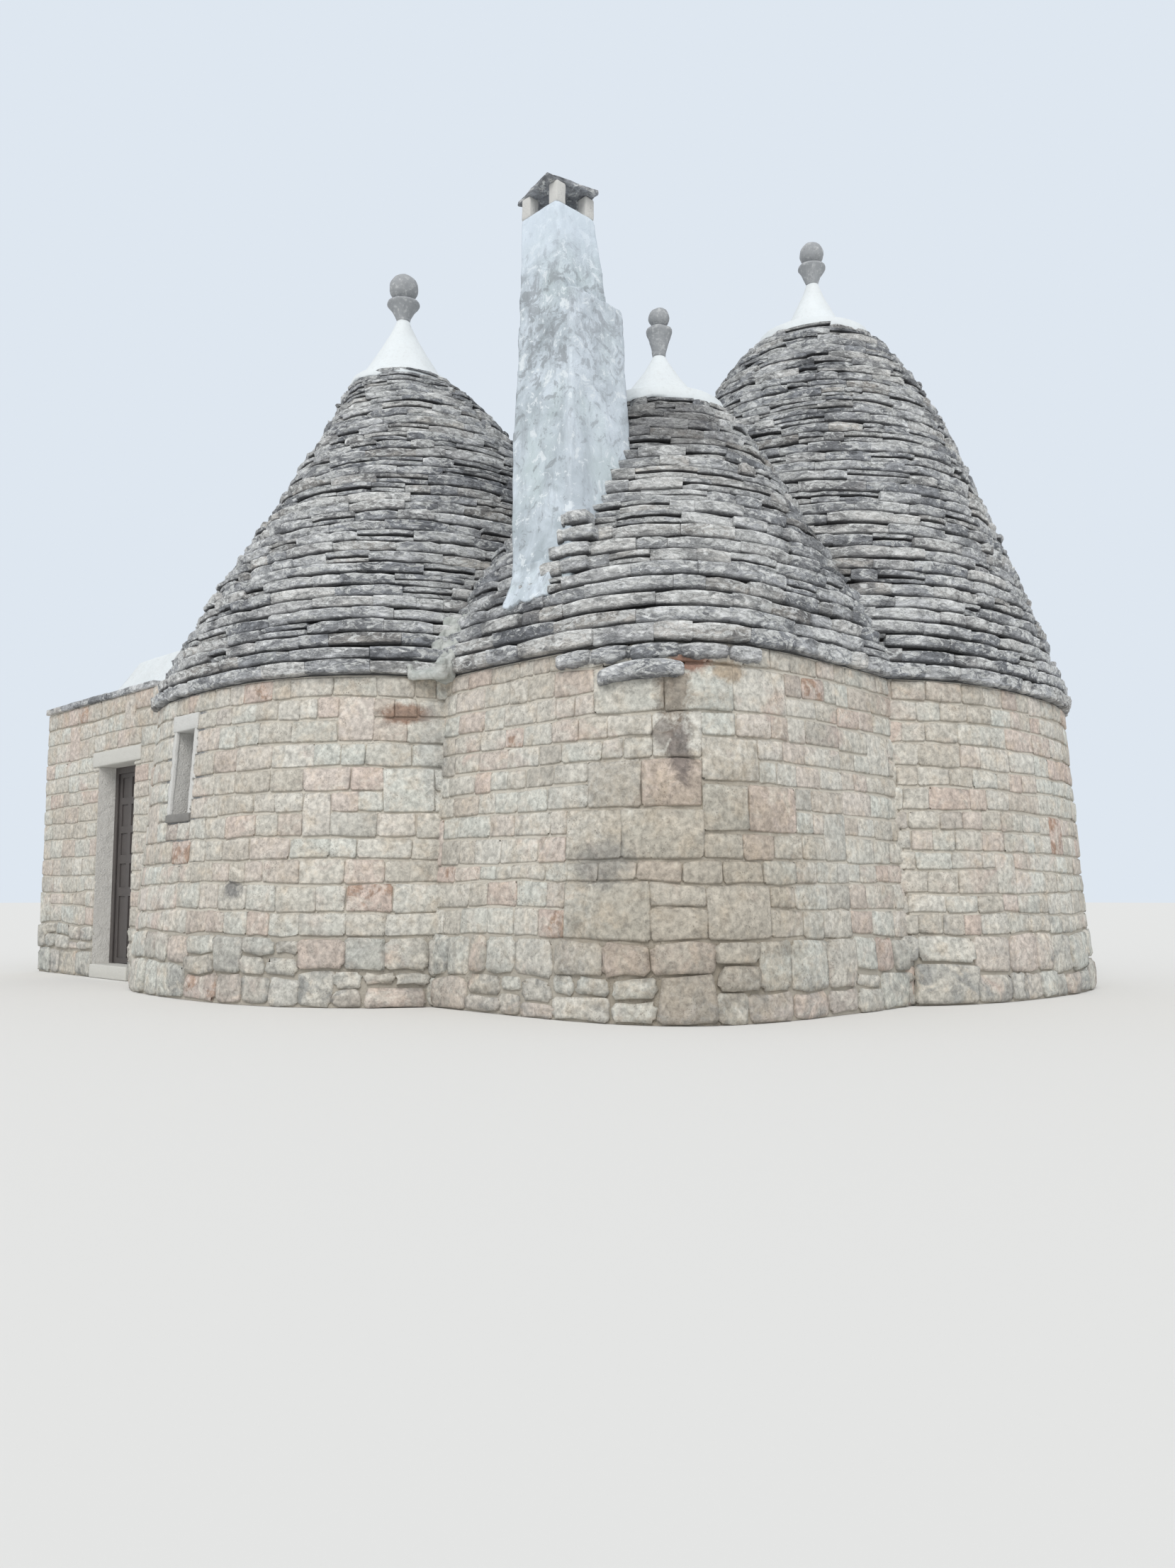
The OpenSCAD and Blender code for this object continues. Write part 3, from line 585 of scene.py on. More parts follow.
def laid_stone_material():
    """Cream, pink and pale limestone, greyer with lichen near the ground, with lime smeared over it."""
    m = Finish("laid_limestone")
    reading = m.add("Attribute", {"attribute_name": "stone"})
    tone, warmth, greyness = m.add("SeparateColor", Color=reading["Color"])
    height = m.axis(2)
    texture = m.grain(1.0)
    chisel = m.clouds(21.0, 7.0, 0.68, 0.3)
    blotches = m.clouds(6.0, 6.0, 0.64, 0.2)
    patches = m.clouds(2.1, 4.0, 0.6, 0.6)
    m.colour = m.mix(tone, (0.575, 0.561, 0.514), (0.465, 0.435, 0.38))
    pink = m.larger(m.spread(warmth, 0.66, 1.0, 0, 0.7), m.spread(patches, 0.56, 0.7, 0, 0.6))
    m.coat(pink, (0.536, 0.415, 0.366))
    pale = m.times(m.spread(warmth, 0.34, 0.05), m.spread(blotches, 0.3, 0.55, 1.0, 0.55))
    m.coat(pale, (0.538, 0.554, 0.514))
    tan = m.spread(blotches, 0.5, 0.66, 0, 0.35)
    m.coat(tan, (0.437, 0.343, 0.242))
    rusty = m.times(m.spread(warmth, 0.965, 0.975), m.spread(blotches, 0.5, 0.57, 0, 0.8))
    m.coat(rusty, (0.306, 0.19, 0.135))
    low_down = m.spread(m.plus(height, m.times(m.clouds(1.6), 1.6)), 1.7, 1.15)
    grey_patch = m.spread(m.clouds(3.4, 5.0, 0.62, 0.7), 0.45, 0.56)
    lichen = m.times(low_down, m.times(grey_patch, m.spread(greyness, 0.1, 0.6, 0.5, 1.0)))
    greyer = m.larger(m.spread(greyness, 0.74, 0.8, 0, 0.5), m.times(lichen, 0.85))
    m.coat(m.times(greyer, m.spread(blotches, 0.36, 0.56, 0.2, 1.0)), (0.245, 0.251, 0.245))
    weather = m.spread(m.clouds(0.9), 0.42, 0.64, 0, 0.25)
    m.coat(weather, (0.404, 0.357, 0.3))
    smear = m.spread(m.clouds(3.6, 7.0, 0.7, 1.4), 0.53, 0.61, 0, 0.5)
    m.coat(smear, (0.60, 0.57, 0.51))
    # Painted shade of the roof's overhang, in blotches, along the top of the wall.
    painted_eave_shade = m.times(m.spread(height, 2.5, 2.78), m.spread(blotches, 0.4, 0.6, 0.0, 0.22))
    m.coat(painted_eave_shade, (0.38, 0.288, 0.214))
    m.stain(*stains)
    m.shade(m.spread(chisel, 0.34, 0.64, 0.72, 1.42))
    m.shade(m.spread(blotches, 0.36, 0.62, 0.95, 1.06))
    m.coat(m.times(texture["Pits"], 0.6), (0.159, 0.135, 0.11))
    # Painted shade: the lower edges and the backs of the stones darken the bed joints under them.
    painted_shade_below = m.spread(reading["Alpha"], 0.5, 0.1, 0, 0.25)
    m.coat(painted_shade_below, (0.208, 0.166, 0.122))
    m.feed(m.shader["Roughness"], m.spread(texture["Mottle"], 0.3, 0.7, 0.82, 0.96))
    return m.done(m.plus(m.times(texture["Height"], 0.6), m.times(chisel, 1.9)), 0.005)


def dress(material, *nodes):
    """Gives CAD nodes, or pieces, a material."""
    for one in nodes:
        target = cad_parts[one] if isinstance(one, str) else one
        if not target.material_slots:
            target.data.materials.append(material)
        for held in target.material_slots:
            held.material = material


# The middle of the floor of each room, and of the dome over it
main_middle, hearth_middle, rear_middle = (-0.285, -1.6, 0), (3.005, -1.175, 0), (2.765, 1.64, 0)
laid_stone = laid_stone_material()
dress(laid_stone, main_stones, hearth_stones, rear_stones)
dress(wall_core_material("main_wall_core", main_middle, [*stains, reveal_wash]),
      "main_front_wall", "main_left_wall", "main_back_wall", "main_right_wall")
dress(wall_core_material("hearth_wall_core", hearth_middle, stains),
      "hearth_front_wall", "hearth_right_wall", "hearth_back_wall")
dress(wall_core_material("rear_wall_core", rear_middle),
      "rear_front_wall", "rear_left_wall", "rear_right_wall", "rear_back_wall")

# The wing is a low straight building of the same stone against the main room. Its walls end in
# a parapet, and a row of sawn slabs lies on the parapet as its coping.
coping_z = 3.17
wing_meets_main = -1.9
door_left, door_right, door_head = -3.675, -2.705, 2.40
lintel_overlap, lintel_tall = 0.14, 0.17
doorway = (door_left - wing_end, door_right - wing_end, 0.0, door_head)
over_door = (doorway[0] - lintel_overlap, doorway[1] + lintel_overlap, door_head, door_head + lintel_tall)
rng = random.Random(43)
bm, shade = start_piece("stone")
for start, end, holes in (((wing_end, wing_front), (wing_meets_main, wing_front), [doorway, over_door]),
                          ((wing_end, wing_back), (wing_end, wing_front), []),
                          ((wing_meets_main, wing_back), (wing_end, wing_back), [])):
    lay_stones(bm, shade, rng, FlatWall(start, end), coping_z, holes)
wing_stones = new_piece("wing_wall_stones", bm)
dress(laid_stone, wing_stones)
dress(wall_core_material("wing_wall_core", (-3.6, -1.78, 0)), "wing_front_wall_left", "wing_front_wall_right",
      "wing_wall_over_door", "wing_end_wall", "wing_back_wall", "wing_parapet")


def new_copy_of(nodes):
    """The solids of CAD nodes in one bmesh, with their corners joined."""
    bm = bmesh.new()
    for one in nodes:
        bm.from_mesh(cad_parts[one].data)
    bmesh.ops.remove_doubles(bm, verts=bm.verts, dist=0.0002)
    return bm


def cut_across(bm, at, way, dist):
    everything = bm.verts[:] + bm.edges[:] + bm.faces[:]
    bmesh.ops.bisect_plane(bm, geom=everything, dist=dist, plane_co=at, plane_no=way)


def round_edges(bm, edges, offset, segments=2):
    return bmesh.ops.bevel(bm, geom=edges, offset=offset, offset_type="OFFSET", affect="EDGES",
                           segments=segments, profile=0.5, material=-1, clamp_overlap=True)


def worn_copy(name, node, step, wear, amount, scale):
    """A copy of a CAD node with rounded edges and an uneven surface, which stands for it."""
    bm = new_copy_of([node])
    bmesh.ops.dissolve_limit(bm, angle_limit=math.radians(1.5), verts=bm.verts, edges=bm.edges)
    sharp = [e for e in bm.edges if len(e.link_faces) == 2 and e.calc_face_angle(0) > math.radians(25)]
    round_edges(bm, sharp, wear)
    for axis in range(3):
        values = [v.co[axis] for v in bm.verts]
        low, high = min(values), max(values)
        count = int((high - low) / step)
        for i in range(1, count + 1):
            at, way = Vector((0, 0, 0)), Vector((0, 0, 0))
            at[axis], way[axis] = low + (high - low) * i / (count + 1), 1
            cut_across(bm, at, way, 0.0005)
    bm.normal_update()
    for v in bm.verts:
        push = noise.noise(v.co * scale) + 0.5 * noise.noise(v.co * scale * 2.7 + Vector((5, 3, 9)))
        v.co += v.normal * push * amount
        v.co.z = max(0.0, v.co.z)
    piece = new_piece(name, bm)
    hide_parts(node)
    return piece


def coping_slab(bm, shade, rng, low, high):
    """One sawn slab with worn edges, a little out of line with its neighbours."""
    made = bmesh.ops.create_cube(bm, size=1)["verts"]
    size, middle = Vector(high) - Vector(low), (Vector(high) + Vector(low)) / 2
    turn = Matrix.Rotation(rng.uniform(-0.012, 0.012), 4, "Z")
    bmesh.ops.scale(bm, verts=made, vec=size)
    bmesh.ops.rotate(bm, verts=made, matrix=turn)
    bmesh.ops.translate(bm, verts=made, vec=middle + Vector((0, 0, rng.uniform(-0.004, 0.006))))
    done = round_edges(bm, list({e for v in made for e in v.link_edges}), 0.014)
    long_edges = [e for e in done["edges"] if e.is_valid and e.calc_length() > 0.2]
    cut = bmesh.ops.subdivide_edges(bm, edges=long_edges, cuts=3, use_grid_fill=True)
    mark = (rng.random(), rng.uniform(0, 0.5), rng.random(), 0.6)
    for v in {v for f in done["faces"] if f.is_valid for v in f.verts} | set(points_of(cut["geom"])):
        v.co += noise.noise_vector(v.co * 9) * 0.006
        v[shade] = mark


rng = random.Random(57)
noise.seed_set(57)  # without a seed, noise_vector starts from the clock
bm, shade = start_piece("slab")
coping_tall, coping_wide, overhang, joint = 0.07, 0.37, 0.04, 0.004
coping_lengths, shortest_coping = (0.42, 0.72), 0.3
for start, end in (((wing_end, wing_front), (-2.27, wing_front)), ((wing_end, wing_back), (-2.44, wing_back)),
                   ((wing_end, -3.12), (wing_end, -0.45))):
    start, end = Vector(start), Vector(end)
    length = (end - start).length
    along_x = abs(end.x - start.x) > abs(end.y - start.y)
    here = 0.0
    while here < length - 0.05:
        run = rng.uniform(*coping_lengths)
        if length - here - run < shortest_coping:
            run = length - here
        a, b = here + joint, here + run - joint
        drop = rng.uniform(-0.006, 0.006)
        if along_x:
            side = -1 if start.y < -2 else 1
            y0, y1 = start.y + side * (overhang + drop), start.y - side * (coping_wide - overhang)
            low = (start.x + a - (overhang if here == 0 else 0), min(y0, y1), coping_z)
            high = (start.x + b, max(y0, y1), coping_z + coping_tall)
        else:
            low = (start.x - overhang - drop, start.y + a, coping_z)
            high = (start.x + coping_wide - overhang, start.y + b, coping_z + coping_tall)
        coping_slab(bm, shade, rng, low, high)
        here += run
coping_piece = new_piece("coping_slabs", bm)
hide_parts("wing_coping")

# The roofs are flat slabs of grey limestone, laid dry in level rings over a corbelled dome. Each
# ring stands a little inside the one below, and rain runs off their rounded front edges. They
# are grown over with white and black lichen.
slab_taper = 0.2
rounding = 0.5
# Each roof: middle, courses, rise, half width at the eaves and the tip, swell, squareness, lean, tip shift
roofs = {"main": ((-0.285, -1.6), 34, 3.73, 2.40, 0.41, 0.74, 2.6, 0.19, (-0.04, -0.10)),
         "hearth": ((2.775, -0.966), 23, 2.74, 1.91, 0.35, 0.62, 3.6, 0.0, (0.0, 0.0)),
         "rear": ((2.765, 1.64), 38, 4.33, 2.36, 0.32, 0.55, 2.6, 0.0, (0.0, 0.0))}
chimney_low, chimney_high = Vector((2.55, -2.606)), Vector((3.256, -1.9))
# One point and the slope of the two valleys between the roofs
front_valley, front_slope = (1.935, -2.85), 0.29
slant_valley, slant_slope = (1.215, -0.006), 0.941


def course_z(i, count, rise):
    u = i / count
    return round(rise * 1000 * u * (1 + slab_taper - slab_taper * u)) / 1000


def ring(roof, z):
    """Middle, half width and squareness of a roof's outline at one height above the eaves."""
    middle, count, rise, eave, tip, swell, square, lean, shift = roofs[roof]
    t = min(1.0, max(0.0, z / course_z(count - 1, count, rise)))
    half = tip + (eave - tip) * (1 - t) ** swell
    drift = lean * math.sin(math.pi * t * t) * math.sqrt(0.5)
    now = 2 + (square - 2) * (1 - t / rounding) if t < rounding else 2
    return (middle[0] + shift[0] * t + drift, middle[1] + shift[1] * t + drift), half, now


def under_roof(roof, x, y, z):
    if z > roofs[roof][2]:
        return False
    middle, half, square = ring(roof, z)
    dx, dy = x - middle[0], y - middle[1]
    return math.hypot(dx, dy) < half * reach(math.atan2(dy, dx), square) - 0.01


def block_pattern(name, rounded, offset, segments, parts):
    """A block four long with some edges rounded over, cut across into parts so that it can bend."""
    bm = bmesh.new()
    bmesh.ops.create_cube(bm, size=1)
    bmesh.ops.translate(bm, verts=bm.verts, vec=(0.5, 0.5, 0.5))
    bmesh.ops.scale(bm, verts=bm.verts, vec=(4, 1, 1))
    round_edges(bm, [e for e in bm.edges if rounded(e)], offset, segments)
    for i in range(1, parts):
        cut_across(bm, (4 * i / parts, 0, 0), (1, 0, 0), 0.001)
    return into_mesh(name, bm)


def at_front(edge):
    return all(v.co.y < 0.1 for v in edge.verts) and abs(edge.verts[0].co.z - edge.verts[1].co.z) < 0.1


slabs = block_pattern("slab_pattern", at_front, 0.16, 2, 4)


def lay_slab(bm, shade, rng, middle, half, square, turn0, turn1, z0, z1, deep, proud, mark, wave=0.0, shaded=0.0):
    """One slab of a ring, between two angles and two heights, with its front at the ring's edge."""
    tall = z1 - z0
    corner, beside, central = (0.0, 0.022), (-0.009, 0.009), (-0.006, 0.006)
    set_back = [rng.uniform(*limits) for limits in (corner, beside, central, beside, corner)]
    thin = [rng.uniform(0.78, 1.0), rng.uniform(0.9, 1.04), 1, rng.uniform(0.9, 1.04), rng.uniform(0.78, 1.0)]
    yaw = rng.uniform(-0.012, 0.012)
    sag = rng.uniform(-0.008, 0.008)
    shave = rng.uniform(-0.02, 0.1) * tall
    bed = rng.uniform(0.004, 0.016)
    undercut = rng.uniform(0.012, 0.035)

    def place(p):
        i, share = round(p.x), p.x / 4
        angle = turn0 + (turn1 - turn0) * share
        front = proud + yaw * (share - 0.5) * 2 + rng.uniform(-0.007, 0.007) - set_back[i]
        edge = half * reach(angle, square) + front
        inward = p.y * deep if p.y > 0.9 else p.y * 0.07 + undercut * max(0, 1 - p.z / 0.3)
        up = 0.5 + (p.z - 0.5) * thin[i]
        z = z0 + bed + up * (tall - 0.003 - bed - shave) + sag * (share - 0.5) + rng.uniform(-0.004, 0.004)
        z += wave * wander(math.cos(angle) * 2.2, math.sin(angle) * 2.2, z0 * 3)
        return around(middle, edge - inward, angle, z)

    # The fourth number runs up the front, for painted shade under it; shaded lifts its foot, for less of that
    # painted shade.
    add_copy(bm, slabs, place, shade, lambda p: (*mark, shaded + (1 - shaded) * p.z))


def slab_mark(rng, pale_share):
    """Tone, paleness and warmth of one slab. The fourth number, added where the slab is laid, runs up its front
    edge: low at the foot for painted shade, high at the top for a painted highlight.
    """
    pale = 1.0 if rng.random() < pale_share else rng.uniform(0, 0.5)
    return rng.random(), pale, rng.random()


def roof_slabs(roof, seed, near):
    """The rings of one roof outside the other roofs, but for the last one, which the lime tip covers."""
    rng = random.Random(seed)
    bm, shade = start_piece("slab")
    count, rise = roofs[roof][1:3]
    others = [one for one in roofs if one != roof]
    for i in range(count - 1):
        z0, z1 = course_z(i, count, rise), course_z(i + 1, count, rise)
        middle, half, square = ring(roof, z0)
        above = ring(roof, z1)[1]
        deep = max(0.13, half - above + 0.09)
        share = i / count
        angle = rng.uniform(0, 0.3)
        stop = angle + 2 * math.pi
        row_pale = 0.4 if rng.random() < 0.09 else 0.08
        while angle < stop - 0.001:
            run = rng.uniform(0.24, 0.78) * (1 - 0.4 * share) / (half * reach(angle, square))
            if stop - angle - run < 0.1 / half:
                run = stop - angle
            ends = []
            for turn in (angle, angle + run / 2, angle + run):
                out = (half - 0.02) * reach(turn, square)
                x, y = middle[0] + out * math.cos(turn), middle[1] + out * math.sin(turn)
                ends.append(near(x, y) and not any(under_roof(one, x, y, z0 + 0.04) for one in others))
            if ends[1] or all(ends[::2]) or (any(ends) and run * half > 0.3):
                gap = 0.001 / half
                layers = (z0, z1)
                if rng.random() < 0.1 + 0.45 * share:
                    layers = (z0, z0 + (z1 - z0) * rng.uniform(0.42, 0.6), z1)
                # The lowest ring gets less painted shade under its front edge.
                wave, shaded = (0.022, 0.0) if i else (0.0, 0.22)
                for low, high in zip(layers, layers[1:]):
                    proud = rng.uniform(0.006, 0.044)
                    lay_slab(bm, shade, rng, middle, half, square, angle + gap, angle + run - gap,
                             wall_top + low, wall_top + high, deep, proud, slab_mark(rng, row_pale), wave, shaded)
            angle += run
    return new_piece(roof + "_roof_slabs", bm, smooth=False)


def past_front_valley(x, y):
    """How far a point lies on the hearth room's side of the valley between the front roofs."""
    return x - (front_valley[0] - front_slope * (y - front_valley[1]))


def past_slant(x, y):
    """How far a point lies on the rear room's side of the slanting valley."""
    return y - (slant_valley[1] - slant_slope * (x - slant_valley[0]))


def near_main(x, y):
    return x > -2.45 and past_front_valley(x, y) < 0.05 and past_slant(x, y) < 0.05


def near_hearth(x, y):
    in_chimney = all(low + 0.03 < at < high - 0.03 for at, low, high in zip((x, y), chimney_low, chimney_high))
    return not in_chimney and past_front_valley(x, y) > -0.05 and y < -0.01


def near_rear(x, y):
    return past_slant(x, y) > -0.05 and (y > -0.11 or past_front_valley(x, y) < 0.05)


main_slabs = roof_slabs("main", 101, near_main)
hearth_slabs = roof_slabs("hearth", 202, near_hearth)
rear_slabs = roof_slabs("rear", 303, near_rear)

# Two short rows of thick field slabs carry the eave round the hearth room's corner, where the
# wall is splayed. A long slab behind each row closes the gaps between them.
field_slab = block_pattern("field_slab_pattern", lambda e: any(v.co.y < 0.1 for v in e.verts), 0.3, 4, 16)
rng = random.Random(404)
bm, shade = start_piece("slab")
corner_middle, corner_half, corner_square = rooms["hearth"]
# Each row: the angles of its joints, the heights of its foot and its top, how far it stands out, and its sag
corner_rows = (((-73, -63.5, -55, -45, -35, -27), wall_top - 0.135, wall_top - 0.005, 0.085, 0.012),
               ((-62, -44), wall_top - 0.27, wall_top - 0.13, 0.12, 0.05))
for turns, z0, z1, proud, sag in corner_rows:
    for a, b in [*zip(turns, turns[1:]), (turns[0] + 1, turns[-1] - 1)]:
        backing = b - a > 25
        seed, yaw = rng.uniform(0, 99), 0 if backing else rng.uniform(-0.015, 0.015)

        def place(p):
            share = p.x / 4
            angle = math.radians(a + 0.1 + (b - a - 0.2) * share)
            lump = wander(p.x * 1.3, p.y, p.z * 1.5 + seed) + 0.5 * wander(p.x * 3.7, p.y * 2, p.z * 3 + seed)
            inward = p.y * 0.28 - proud + 0.045 * backing - yaw * (share - 0.5)
            inward += 0.02 * lump + 0.03 * max(0, 0.6 - p.z) ** 2
            full = 0.96 if backing else 0.82 + 0.25 * math.sin(math.pi * share)
            z = z1 - (1 - p.z) * (z1 - z0) * full + 0.012 * lump - sag * (2 * share - 1.2) ** 2
            return around(corner_middle, corner_half * reach(angle, corner_square) - inward, angle, z)

        mark = slab_mark(rng, 0)
        # The fourth number runs up the front, for painted shade under it and a painted highlight along its top.
        add_copy(bm, field_slab, place, shade, lambda p: (*mark, 0.12 + 0.88 * p.z))
corner_slabs = new_piece("corner_slabs", bm)
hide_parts("corner_eave_slabs")


def slab_material(name, painted_edge_light=1.0):
    """Grey limestone with lichens, with painted shade under its front edge and its lichen crust thicker along the
    top of it as a painted highlight.
    """
    m = Finish(name)
    reading = m.add("Attribute", {"attribute_name": "slab"})
    tone, paleness, warmth = m.add("SeparateColor", Color=reading["Color"])
    texture = m.grain(1.3)
    along = m.vector("MULTIPLY", m.coords, (1, 1, 2.4))
    cloud = m.clouds(1.3)
    swirl = m.noise(along, 12.0, 6.0, 0.68, 1.2)
    m.colour = m.mix(tone, (0.36, 0.375, 0.405), (0.74, 0.75, 0.765))
    m.coat(m.spread(paleness, 0.9, 0.95), (0.84, 0.83, 0.81))
    m.coat(m.times(m.spread(warmth, 0.75, 1.0), 0.5), (0.60, 0.53, 0.44))
    black = m.spread(m.plus(m.noise(along, 4.0, 6.0, 0.7), m.times(cloud, 0.4)), 0.64, 0.80)
    m.coat(m.times(black, 0.7), (0.13, 0.137, 0.15))
    crusty = m.minus(m.noise(along, 7.0, 7.0, 0.7, 1.2), m.times(cloud, 0.35))
    # The crust is lichen; it is thicker along the top of the front edge, as a painted highlight.
    crust_and_top_highlight = m.spread(m.plus(crusty, m.times(reading["Alpha"], 0.08 * painted_edge_light)), 0.36, 0.41)
    m.coat(m.times(crust_and_top_highlight, 0.75), (0.87, 0.88, 0.87))
    bleached = ((3.9, -2.4, 4.1), (1.4, 1.4, 1.1), (0.86, 0.865, 0.85), 0.22)
    # A darker patch of slabs on the hearth cone, beside the chimney.
    darker_patch = ((3.35, -1.6, 5.0), (0.6, 0.6, 0.42), (0.14, 0.135, 0.135), 0.6)
    m.stain(bleached, darker_patch)
    m.shade(m.spread(swirl, 0.32, 0.64, 0.5, 1.4))
    # Painted shade under the slab's front edge.
    painted_shade_below = m.spread(reading["Alpha"], 0.34, 0.04, 0, 0.9 * painted_edge_light)
    m.coat(painted_shade_below, (0.055, 0.055, 0.058))
    m.feed(m.shader["Roughness"], m.spread(texture["Mottle"], 0.3, 0.7, 0.8, 0.97))
    return m.done(m.plus(texture["Height"], swirl), 0.035)


grey_slab = slab_material("grey_slab")
dress(grey_slab, main_slabs, hearth_slabs, rear_slabs, corner_slabs)
dress(slab_material("coping_slab", 0.0), coping_piece)

# Behind the slabs lie the courses of the cones themselves: rubble outside, painted near black as the
# shade in the joints, where alone it shows, and the bare corbelled stone of the domes inside.
core_in = 0.07


def roof_core(roof, dome, room, *nodes):
    """A copy of a cone's solids whose outer faces stand further in, behind the slabs."""
    bm = new_copy_of(nodes)
    count, rise = roofs[roof][1:3]
    for v in bm.verts:
        z = v.co.z - wall_top
        t = z / course_z(count - 1, count, rise)
        inside = room * math.sqrt(max(0, 1 - max(0, t - 0.04) / 0.8)) + 0.03
        if math.hypot(v.co.x - dome[0], v.co.y - dome[1]) < inside:
            continue
        middle = Vector(ring(roof, z)[0])
        away = v.co.xy - middle
        away *= max(0, 1 - core_in / max(0.01, away.length))
        v.co.xy = middle + away
    piece = new_piece(roof + "_roof_core", bm, smooth=False)
    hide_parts(*nodes)
    # The rubble's near-black outside is painted shade, which fills the joints between the slabs.
    rubble, corbels = ((0.06, 0.06, 0.06), (0.14, 0.14, 0.135)), ((0.50, 0.46, 0.40), (0.66, 0.62, 0.55))
    dress(core_material(roof + "_rubble_painted_as_shade", dome, 1.3, rubble, corbels), piece)


roof_core("main", main_middle, 1.5, "main_roof_lower", "main_roof_upper")
roof_core("hearth", hearth_middle, 0.6, "hearth_roof")
roof_core("rear", rear_middle, 1.4, "rear_roof_lower", "rear_roof_upper")

# Each cone ends in a smooth tip of lime mortar, brushed white every few years, whose foot laps
# over the last ring of slabs.
lime = Group("lime_wash", Vector="Vector", Wear="Float")
clouds = lime.noise(lime.taken["Vector"], 3.1, 6.0, 0.62)
specks = lime.noise(lime.taken["Vector"], 26.0, 5.0, 0.7)
streaks = lime.noise(lime.vector("MULTIPLY", lime.taken["Vector"], (5, 5, 1.4)), 1.0, 5.0, 0.6)
clean = lime.mix(clouds, (0.75, 0.80, 0.825), (0.83, 0.86, 0.87))
greyed = lime.times(lime.spread(lime.plus(clouds, streaks), 0.78, 1.24), lime.taken["Wear"], True)
spotted = lime.times(lime.spread(specks, 0.54, 0.68), lime.taken["Wear"], True)
washed = lime.mix(spotted, lime.mix(greyed, clean, (0.40, 0.425, 0.435)), (0.44, 0.43, 0.40))
lime.give(Colour=washed, Height=lime.plus(clouds, lime.times(specks, 0.4)))


def lime_material(name, wear, depth):
    m = Finish(name, 0.85)
    wash = m.use(lime, Vector=m.coords, Wear=wear)
    m.colour = wash["Colour"]
    return m.done(wash["Height"], depth)


def spun(bm, at, foot, profile, steps):
    """Turns a profile of radius and height about an upright line, into a closed skin."""
    points = [bm.verts.new((at[0] + r, at[1], foot + z)) for r, z in profile]
    line = [bm.edges.new(pair) for pair in zip(points, points[1:])]
    bmesh.ops.spin(bm, geom=points + line, cent=(at[0], at[1], 0), axis=(0, 0, 1), angle=2 * math.pi, steps=steps,
                   use_merge=True)
    bmesh.ops.remove_doubles(bm, verts=bm.verts, dist=0.0005)
    bmesh.ops.recalc_face_normals(bm, faces=bm.faces)
    bm.normal_update()


def push_out(bm, push):
    """Moves every point along its normal by what push gives for its place."""
    for v in bm.verts:
        v.co += v.normal * push(v.co)


tip_lime = lime_material("tip_lime", 0.16, 0.01)
# Each tip: middle, foot height, foot radius, top radius, height, and how far its skirt lies on the ledge below
tips = {"main": ((-0.325, -1.70), 6.52, 0.41, 0.07, 0.68, 0.12),
        "hearth": ((2.775, -0.966), 5.53, 0.35, 0.06, 0.47, 0.235),
        "rear": ((2.765, 1.64), 7.12, 0.32, 0.065, 0.60, 0.27)}
for name, (at, foot, foot_radius, top_radius, tall, ledge) in tips.items():
    count, rise = roofs[name][1:3]
    last = rise - course_z(count - 1, count, rise)
    skirt = foot_radius + 0.038
    rim, hang = foot_radius + ledge, 0.3 * ledge
    profile = [(0.0, -0.02), (foot_radius - 0.02, -0.02), (rim - 0.03, -last + 0.005), (rim + 0.012, -last - hang),
               (rim + 0.03, -last - hang), (rim + 0.03, -last - hang * 0.5), (rim + 0.018, -last + 0.025),
               (rim - 0.02, -last + 0.05), (skirt + 0.045, -last + 0.062), (skirt + 0.012, -last * 0.2)]
    profile += [(top_radius + (skirt - 0.008 - top_radius) * (1 - u / 14) ** 1.18 + 0.004, tall * u / 14)
                for u in range(1, 15)]
    bm = bmesh.new()
    spun(bm, at, foot, profile + [(0.0, tall)], 72)
    push_out(bm, lambda p: 0.009 * noise.noise(p * 5) + 0.004 * noise.noise(p * 14))
    for v in bm.verts:
        if v.co.z < foot - last:
            droop = 0.3 + wander(v.co.x * 6, v.co.y * 6, 3) + 0.5 * wander(v.co.x * 17, v.co.y * 17, 5)
            v.co.z -= (0.012 + 0.2 * ledge) * droop
    tip = new_piece(name + "_tip_lime", bm)
    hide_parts(name + "_white_tip")
    dress(tip_lime, tip)

# A carved stone pinnacle stands on each tip: a flared cup that carries a ball. Their stone is
# darker than the tips, and speckled with lichen.
m = Finish("carved_limestone")
texture = m.grain(3.0)
m.colour = m.mix(texture["Mottle"], (0.24, 0.25, 0.265), (0.50, 0.515, 0.53))
m.coat(m.times(m.spread(m.clouds(22.0, 6.0, 0.7), 0.52, 0.64), 0.6), (0.66, 0.67, 0.67))
m.coat(m.times(texture["Pits"], 0.7), (0.12, 0.12, 0.125))
carved = m.done(texture["Height"], 0.012)
# Each pinnacle: middle, foot height, neck and cup radius, cup height, ball radius
pinnacles = {"main": ((-0.325, -1.70), 7.20, 0.07, 0.176, 0.24, 0.157),
             "hearth": ((2.775, -0.966), 6.00, 0.06, 0.122, 0.30, 0.099),
             "rear": ((2.765, 1.64), 7.72, 0.065, 0.152, 0.24, 0.134)}
